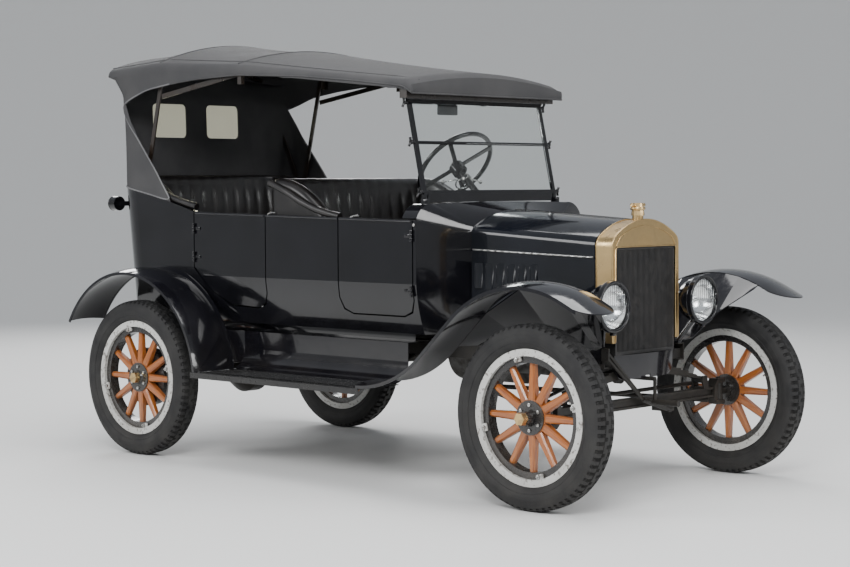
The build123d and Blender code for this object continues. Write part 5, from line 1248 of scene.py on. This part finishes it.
def build_hood_trim():
    """Piano hinges, louvre lips, latches and the handles of the side panels."""
    for hand, side in hands.items():
        hinge = []
        for count in range(16):
            ends = []
            start = 0.006 + count * hinge_pitch
            for back in (start, start + hinge_leaf):
                half, hinge_z = hood_side_line(back)
                ends.append((hood_front - back, side * (half + 0.0015), hinge_z - 0.0005))
            hinge.append(bar(*ends, 0.0042, 12, 0.0006))
        settle(hinge, f"hood_hinge_{hand}", steel, f"hood_top_{hand}", 50)
        trim = []
        for count in range(6):
            back = hood_front - (louvre_start - louvre_pitch * count)
            trim.append(bead(louvre_lip, 0.0022, side, hood_side_place(back, 0.0135, side), sides=2))
        for back in latch_backs:
            spot = hood_side_place(back, 0.001, side)
            trim.append(block((-0.012, 0, 0.735), (0.012, side * 0.006, 0.765), 0.002, 2, spot))
            x, y = spot[:2]
            trim.append(bar((x, y + side * 0.006, 0.757), (x, y + side * 0.013, 0.757), 0.006, 12, 0.001))
            trim.append(bead(latch_hook, 0.0032, side, spot, sides=2))
        trim.append(bead(hood_handle, 0.0045, side, hood_side_place(handle_back, 0.001, side)))
        settle(trim, f"hood_side_trim_{hand}", hood_black, f"hood_side_{hand}", 50)


# Body trim
rail_y = 0.5845
# The rail above the doors: its ends, its height at the front and its rise to the rear
door_rail_front, door_rail_rear = 0.560, -0.940
door_rail_low, door_rail_rise = 1.185, 0.027
pin_y = 0.5925
pin_radius = 0.0068
# columns: front end, rear end, side, body, name
rail_stretches = [
    (0.528, 0.080, -1, "door_front_right", "rail_bead_front_door_right"),
    (0.066, -0.420, -1, "car", "rail_bead_pillar_right"),
    (-0.434, -0.933, -1, "door_rear_right", "rail_bead_rear_door_right"),
    (0.550, -0.420, 1, "car", "rail_bead_front_left"),
    (-0.434, -0.933, 1, "door_rear_left", "rail_bead_rear_door_left"),
]
# columns: door, side, x of its hinges, way to its strap, heights of the hinges, x of its catch
doors = [
    ("door_front_right", -1, 0.535, -1, (1.115, 0.870), 0.105),
    ("door_rear_right", -1, -0.940, 1, (1.130, 0.990), -0.455),
    ("door_rear_left", 1, -0.940, 1, (1.130, 0.990), -0.455),
]
# The line of a catch lever, from its foot on the door
lever_bead = [(0, 0, -0.012), (0, -0.004, 0.010), (0.030, -0.006, 0.020), (0.062, -0.004, 0.018)]
# The lines of the leather rolls beside the front and rear seats
rail_rolls = [
    [(0.060, 0.563, 1.196), (-0.050, 0.562, 1.213), (-0.200, 0.560, 1.262), (-0.330, 0.558, 1.325),
     (-0.430, 0.545, 1.352)],
    [(-0.950, 0.560, 1.238), (-1.080, 0.560, 1.262), (-1.220, 0.560, 1.308), (-1.360, 0.558, 1.350),
     (-1.440, 0.552, 1.362)],
]


def rail_top(x):
    """Height of the body rail above the doors and up to the tail."""
    if x > door_rail_rear:
        share = (door_rail_front - x) / (door_rail_front - door_rail_rear)
        return door_rail_low + door_rail_rise * share
    return rail_height(front_axle_x - x)


def build_body_trim():
    """Rail beads, door hinges and catch levers, leather rolls beside the seats, and the scuttle bolts."""
    for start, end, side, body, name in rail_stretches:
        steps = max(2, int((start - end) / 0.05))
        line = [start + (end - start) * step / steps for step in range(steps + 1)]
        rail_bead = curve_piece([(x, side * rail_y, rail_top(x) - 0.007) for x in line], 0.0048, sides=2)
        settle(rail_bead, name, bead_black, body, 60)
    for door, side, x, toward, heights, _ in doors:
        fixed = []
        swung = []
        y = side * pin_y
        for z in heights:
            for low, high, part in ((-0.026, -0.009, fixed), (0.009, 0.026, fixed), (-0.0085, 0.0085, swung)):
                part.append(bar((x, y, z + low), (x, y, z + high), pin_radius, 16, 0.0012))
            strap = ((x, side * 0.5855, z - 0.008), (x + toward * 0.045, side * 0.5895, z + 0.008))
            swung.append(block(*strap, 0.0015))
            for reach in (0.020, 0.036):
                rivet_x = x + toward * reach
                swung.append(bar((rivet_x, side * 0.589, z), (rivet_x, side * 0.592, z), 0.0035, 10, 0.0006))
        settle(fixed, "hinge_eyes_" + door, gloss_black, "car", 50)
        settle(swung, "hinge_straps_" + door, gloss_black, door, 50)
    for door, side, *_, catch_x in doors:
        foot = (catch_x, side * 0.548, rail_top(catch_x) - 0.012)
        lever = [
            bar((*foot[:2], foot[2] - 0.035), (*foot[:2], foot[2] - 0.010), 0.007, 14, 0.001),
            bead(lever_bead, 0.005, side, foot),
        ]
        settle(lever, "catch_lever_" + door, steel, door, 50)
    rolls = [bead(places, 0.017, side, sides=5) for side in (-1, 1) for places in rail_rolls]
    roll = settle(rolls, "leather_rail_rolls", leather, "car", 60)
    bolts = [nut((0.548, side * rail_y, 1.163), (0, side, 0), 0.0075, 0.006) for side in (-1, 1)]
    settle(bolts, "scuttle_bolts", steel, "car")


# Windscreen and cabin
screen_foot = (0.493, 1.294)
screen_rake = radians(12.5)


def screen_place(off, up, ahead=0.0):
    """A place on the raked windscreen: across, up its slope and ahead of its plane."""
    x = screen_foot[0] - up * sin(screen_rake) + ahead * cos(screen_rake)
    return Vector((x, off, screen_foot[1] + up * cos(screen_rake) + ahead * sin(screen_rake)))


def build_windscreen_trim():
    """Pivots with wing nuts, rubber strip, stay rods to the top and the driver's mirror."""
    bright = []
    dark = []
    for side in (-1, 1):
        for up, size in ((0.244, 0.012), (0.425, 0.010), (0.012, 0.012)):
            start = screen_place(side * 0.467, up)
            out = start + Vector((0, side * 0.016, 0))
            bright.append(bar(start, out, size * 0.75, 16, 0.0015))
            bright.append(nut(out, (0, side, 0), size, 0.008))
            for wing in (-1, 1):
                tip = out + Vector((0.004 * wing, side * 0.014, 0.020 * wing))
                bright.append(bar(out + Vector((0, side * 0.008, 0)), tip, 0.0045, 12, 0.001, 0.0065))
        post_foot = screen_place(side * 0.462, -0.035)
        dark.append(block((-0.018, -0.012, -0.030), (0.018, 0.012, 0.020), 0.005, 3, post_foot))
        stay_top = (0.415, side * 0.500, 1.768)
        dark.append(bar(screen_place(side * 0.4645, 0.430, -0.004), stay_top, 0.0055, 12, 0.001))
    strip = [screen_place(off, 0.236, 0.006) for off in (-0.445, 0.0, 0.445)]
    dark.append(curve_piece(strip, 0.0028, smooth=False, sides=2))
    settle(bright, "windscreen_wing_nuts", gloss_black, "car", 45)
    settle(dark, "windscreen_stays", gloss_black, "car", 50)
    centre = Vector((0.340, -0.130, 1.690))
    shell = block((-0.010, -0.068, -0.028), (0.0, 0.068, 0.028), 0.0045, 3, centre)
    arm_ends = [centre, centre + Vector((0.020, 0, 0.030)), screen_place(-0.130, 0.432, -0.006)]
    arm = curve_piece(arm_ends, 0.004)
    settle([shell, arm], "mirror_shell", gloss_black, "car", 50)
    glass = block((-0.0125, -0.062, -0.023), (-0.0095, 0.062, 0.023), 0.001, 2, centre)
    settle(glass, "mirror_glass", silvered, "car", 30)


def build_cabin():
    """Steering hub cap, quadrant with its two levers, pedals and handbrake."""
    hub = Vector((front_axle_x - 1.353, 0.330, 1.422))
    foot = Vector((front_axle_x - 0.340, 0.218, 0.566))
    down = (foot - hub).normalized()
    settle([
        bar(hub - down * 0.022, hub - down * 0.034, 0.020, 6, 0.0015),
        bar(hub - down * 0.010, hub - down * 0.023, 0.034, 32, 0.003, 0.027),
    ], "steering_hub_cap", steel, "steering_wheel", 40)
    across = Vector((0, 1, 0))
    ahead = across.cross(down).normalized()
    collar = hub + down * 0.085
    quadrant_radius = 0.062
    turns = [radians(-75 + 150 * step / 12) for step in range(13)]
    quadrant = [
        collar + across * (quadrant_radius * sin(turn)) + ahead * (quadrant_radius * cos(turn))
        for turn in turns
    ]
    levers = [
        bar(collar - down * 0.012, collar + down * 0.012, 0.026, 32, 0.002),
        curve_piece(quadrant, 0.0035, sides=2),
        curve_piece([quadrant[0], collar + across * -0.040, collar], 0.003, sides=2),
        curve_piece([quadrant[-1], collar + across * 0.040, collar], 0.003, sides=2),
    ]
    for side in (-1, 1):
        tip = collar + across * (side * 0.140) + ahead * 0.030 + down * -0.012
        levers.append(curve_piece([collar, collar + across * (side * 0.060), tip], 0.0034))
        levers.append(ball(tip, 0.010, 16, 10))
    settle(levers, "spark_and_throttle_levers", steel, "car", 45)
    pedals = []
    for off in (0.165, 0.235, 0.305):
        pad_at = (0.330, off, 0.835)
        pedals.append(curve_piece([(0.425, off, 0.745), (0.385, off, 0.790), pad_at], 0.006))
        pad = block((-0.032, -0.026, -0.006), (0.032, 0.026, 0.006), 0.003)
        pad.rotation_euler = (0, radians(48), 0)
        pad.location = pad_at
        pedals.append(pad)
    settle(pedals, "pedals", chassis_black, "car", 45)
    brake = [
        curve_piece([(0.190, 0.470, 0.664), (0.175, 0.472, 0.800), (0.110, 0.474, 0.960)], 0.008),
        bar((0.112, 0.474, 0.955), (0.072, 0.474, 1.050), 0.012, 20, 0.003, 0.010),
        curve_piece([(0.098, 0.460, 1.000), (0.072, 0.456, 0.985), (0.100, 0.462, 0.930)], 0.003, sides=2),
    ]
    settle(brake, "handbrake_lever", chassis_black, "car", 45)


# Running boards and sills
board_top = 0.4495
rib_count, rib_start, rib_pitch = 9, 0.606, 0.021
rib_line = [
    (-0.640, 0, 0.4495), (-0.625, 0, 0.4515), (-0.142, 0, 0.4515), (0.340, 0, 0.4515), (0.356, 0, 0.4495),
]
edge_line = [(-0.706, 0, 0.4475), (-0.142, 0, 0.4475), (0.424, 0, 0.4475)]
# columns: rear end, front end, inner and outer distance from the middle, bottom, top
shield_plates = [
    (-0.95, -0.694, 0.4765, 0.480, 0.470, 0.628), (-0.95, -0.694, 0.292, 0.480, 0.6245, 0.628),
    (-1.00, 0.420, 0.440, 0.443, 0.627, 0.677),
]


def build_boards():
    """Tread ribs and bolts on the running boards, and the splash shields that close the sills."""
    for hand, side in hands.items():
        ribs = [
            bead(rib_line, 0.0026, origin=(0, side * (rib_start + rib_pitch * count), 0), sides=2)
            for count in range(rib_count)
        ]
        ribs.append(bead(edge_line, 0.0036, origin=(0, side * 0.8185, 0), sides=2))
        settle(ribs, f"running_board_ribs_{hand}", board_black, "car", 50)
        heads = [
            nut((x, side * y, board_top), (0, 0, 1), 0.009, 0.006)
            for x in (0.398, -0.682) for y in (0.640, 0.760)
        ]
        settle(heads, f"running_board_bolts_{hand}", steel, "car")
        shield = [
            block((rear, side * inner, low), (front, side * outer, high), 0.0008)
            for rear, front, inner, outer, low, high in shield_plates
        ]
        lip = [(-0.95, 0.480, 0.471), (-0.694, 0.480, 0.471)]
        shield.append(bead(lip, 0.003, side, smooth=False, sides=2))
        settle(shield, f"sill_splash_shield_{hand}", fender_black, "car")


top, top_edge, top_piping, top_area = build_top()
trimmings = [top_edge, top_piping, build_top_seams(), build_front_fold()]
build_seats()
build_wheels()
build_lamps()
build_radiator()
build_hood_trim()
build_body_trim()
build_windscreen_trim()
build_cabin()
build_boards()


# Floor, light and camera
def sweep_place(u, v):
    """A point on the round studio sweep: u goes round, v goes out over the floor and then up the wall."""
    flat, bend = 10.0, 9.0
    gone = v * (flat + bend * pi / 2)
    turn = max(0.0, gone - flat) / bend
    reach = min(gone, flat) + bend * sin(turn)
    return Vector((reach * cos(2 * pi * u), reach * sin(2 * pi * u), bend * (1 - cos(turn))))


def light_studio():
    """A plain pale floor under soft boxes and a pale sky."""
    ground = formed_grid(96, 40, sweep_place, (1.0, 1.0))
    tidy_mesh(ground)
    turn_outwards(ground, Vector((0, 0, -50)))
    bpy.ops.object.shade_smooth()
    ground.name = "studio_floor"
    material, tree, shader = start_finish("pale_studio_floor", 0.85)
    feed(tree, shader.inputs["Base Color"], (0.72, 0.72, 0.71))
    ground.data.materials.append(material)
    world = bpy.data.worlds.new("studio_sky")
    world.use_nodes = True
    feed_all(world.node_tree, world.node_tree.nodes["Background"], Color=(0.80, 0.84, 0.90), Strength=0.55)
    bpy.context.scene.world = world
    # columns: name, place, size, power
    boxes = [
        ("key_box", (5.0, -6.5, 5.5), 4.0, 650.0),
        ("side_box", (-3.5, -7.5, 4.0), 4.5, 330.0),
        ("top_box", (0.5, 0.5, 7.0), 6.0, 420.0),
        ("rear_box", (-6.5, 4.5, 4.5), 4.0, 300.0),
        ("front_box", (8.0, 1.5, 3.5), 3.0, 220.0),
    ]
    target = Vector((0.0, 0.0, 0.7))
    for name, place, size, power in boxes:
        lamp = bpy.data.lights.new(name, "AREA")
        lamp.shape = "RECTANGLE"
        lamp.size = size
        lamp.size_y = size * 0.7
        lamp.energy = power
        holder = bpy.data.objects.new(name, lamp)
        bpy.context.scene.collection.objects.link(holder)
        holder.location = place
        holder.rotation_euler = (target - Vector(place)).to_track_quat("-Z", "Y").to_euler()


def place_camera():
    """The photograph's view: from the car's front right, a little above the hood."""
    bearing = 2.3191
    tilt = -0.0519
    roll = -0.0044
    eye_place = (6.29373, -6.70418, 1.34082)
    ahead = Vector((cos(tilt) * cos(bearing), cos(tilt) * sin(bearing), sin(tilt)))
    across = ahead.cross(Vector((0, 0, 1))).normalized()
    above = across.cross(ahead)
    right = across * cos(roll) + above * sin(roll)
    up = above * cos(roll) - across * sin(roll)
    eye = bpy.data.cameras.new("photo_view")
    eye.sensor_width = 36.0
    eye.lens = 80.59
    eye.clip_end = 200.0
    holder = bpy.data.objects.new("photo_view", eye)
    bpy.context.scene.collection.objects.link(holder)
    turn = Matrix((right, up, -ahead)).transposed()
    holder.matrix_world = Matrix.Translation(eye_place) @ turn.to_4x4()
    bpy.context.scene.camera = holder


light_studio()
place_camera()
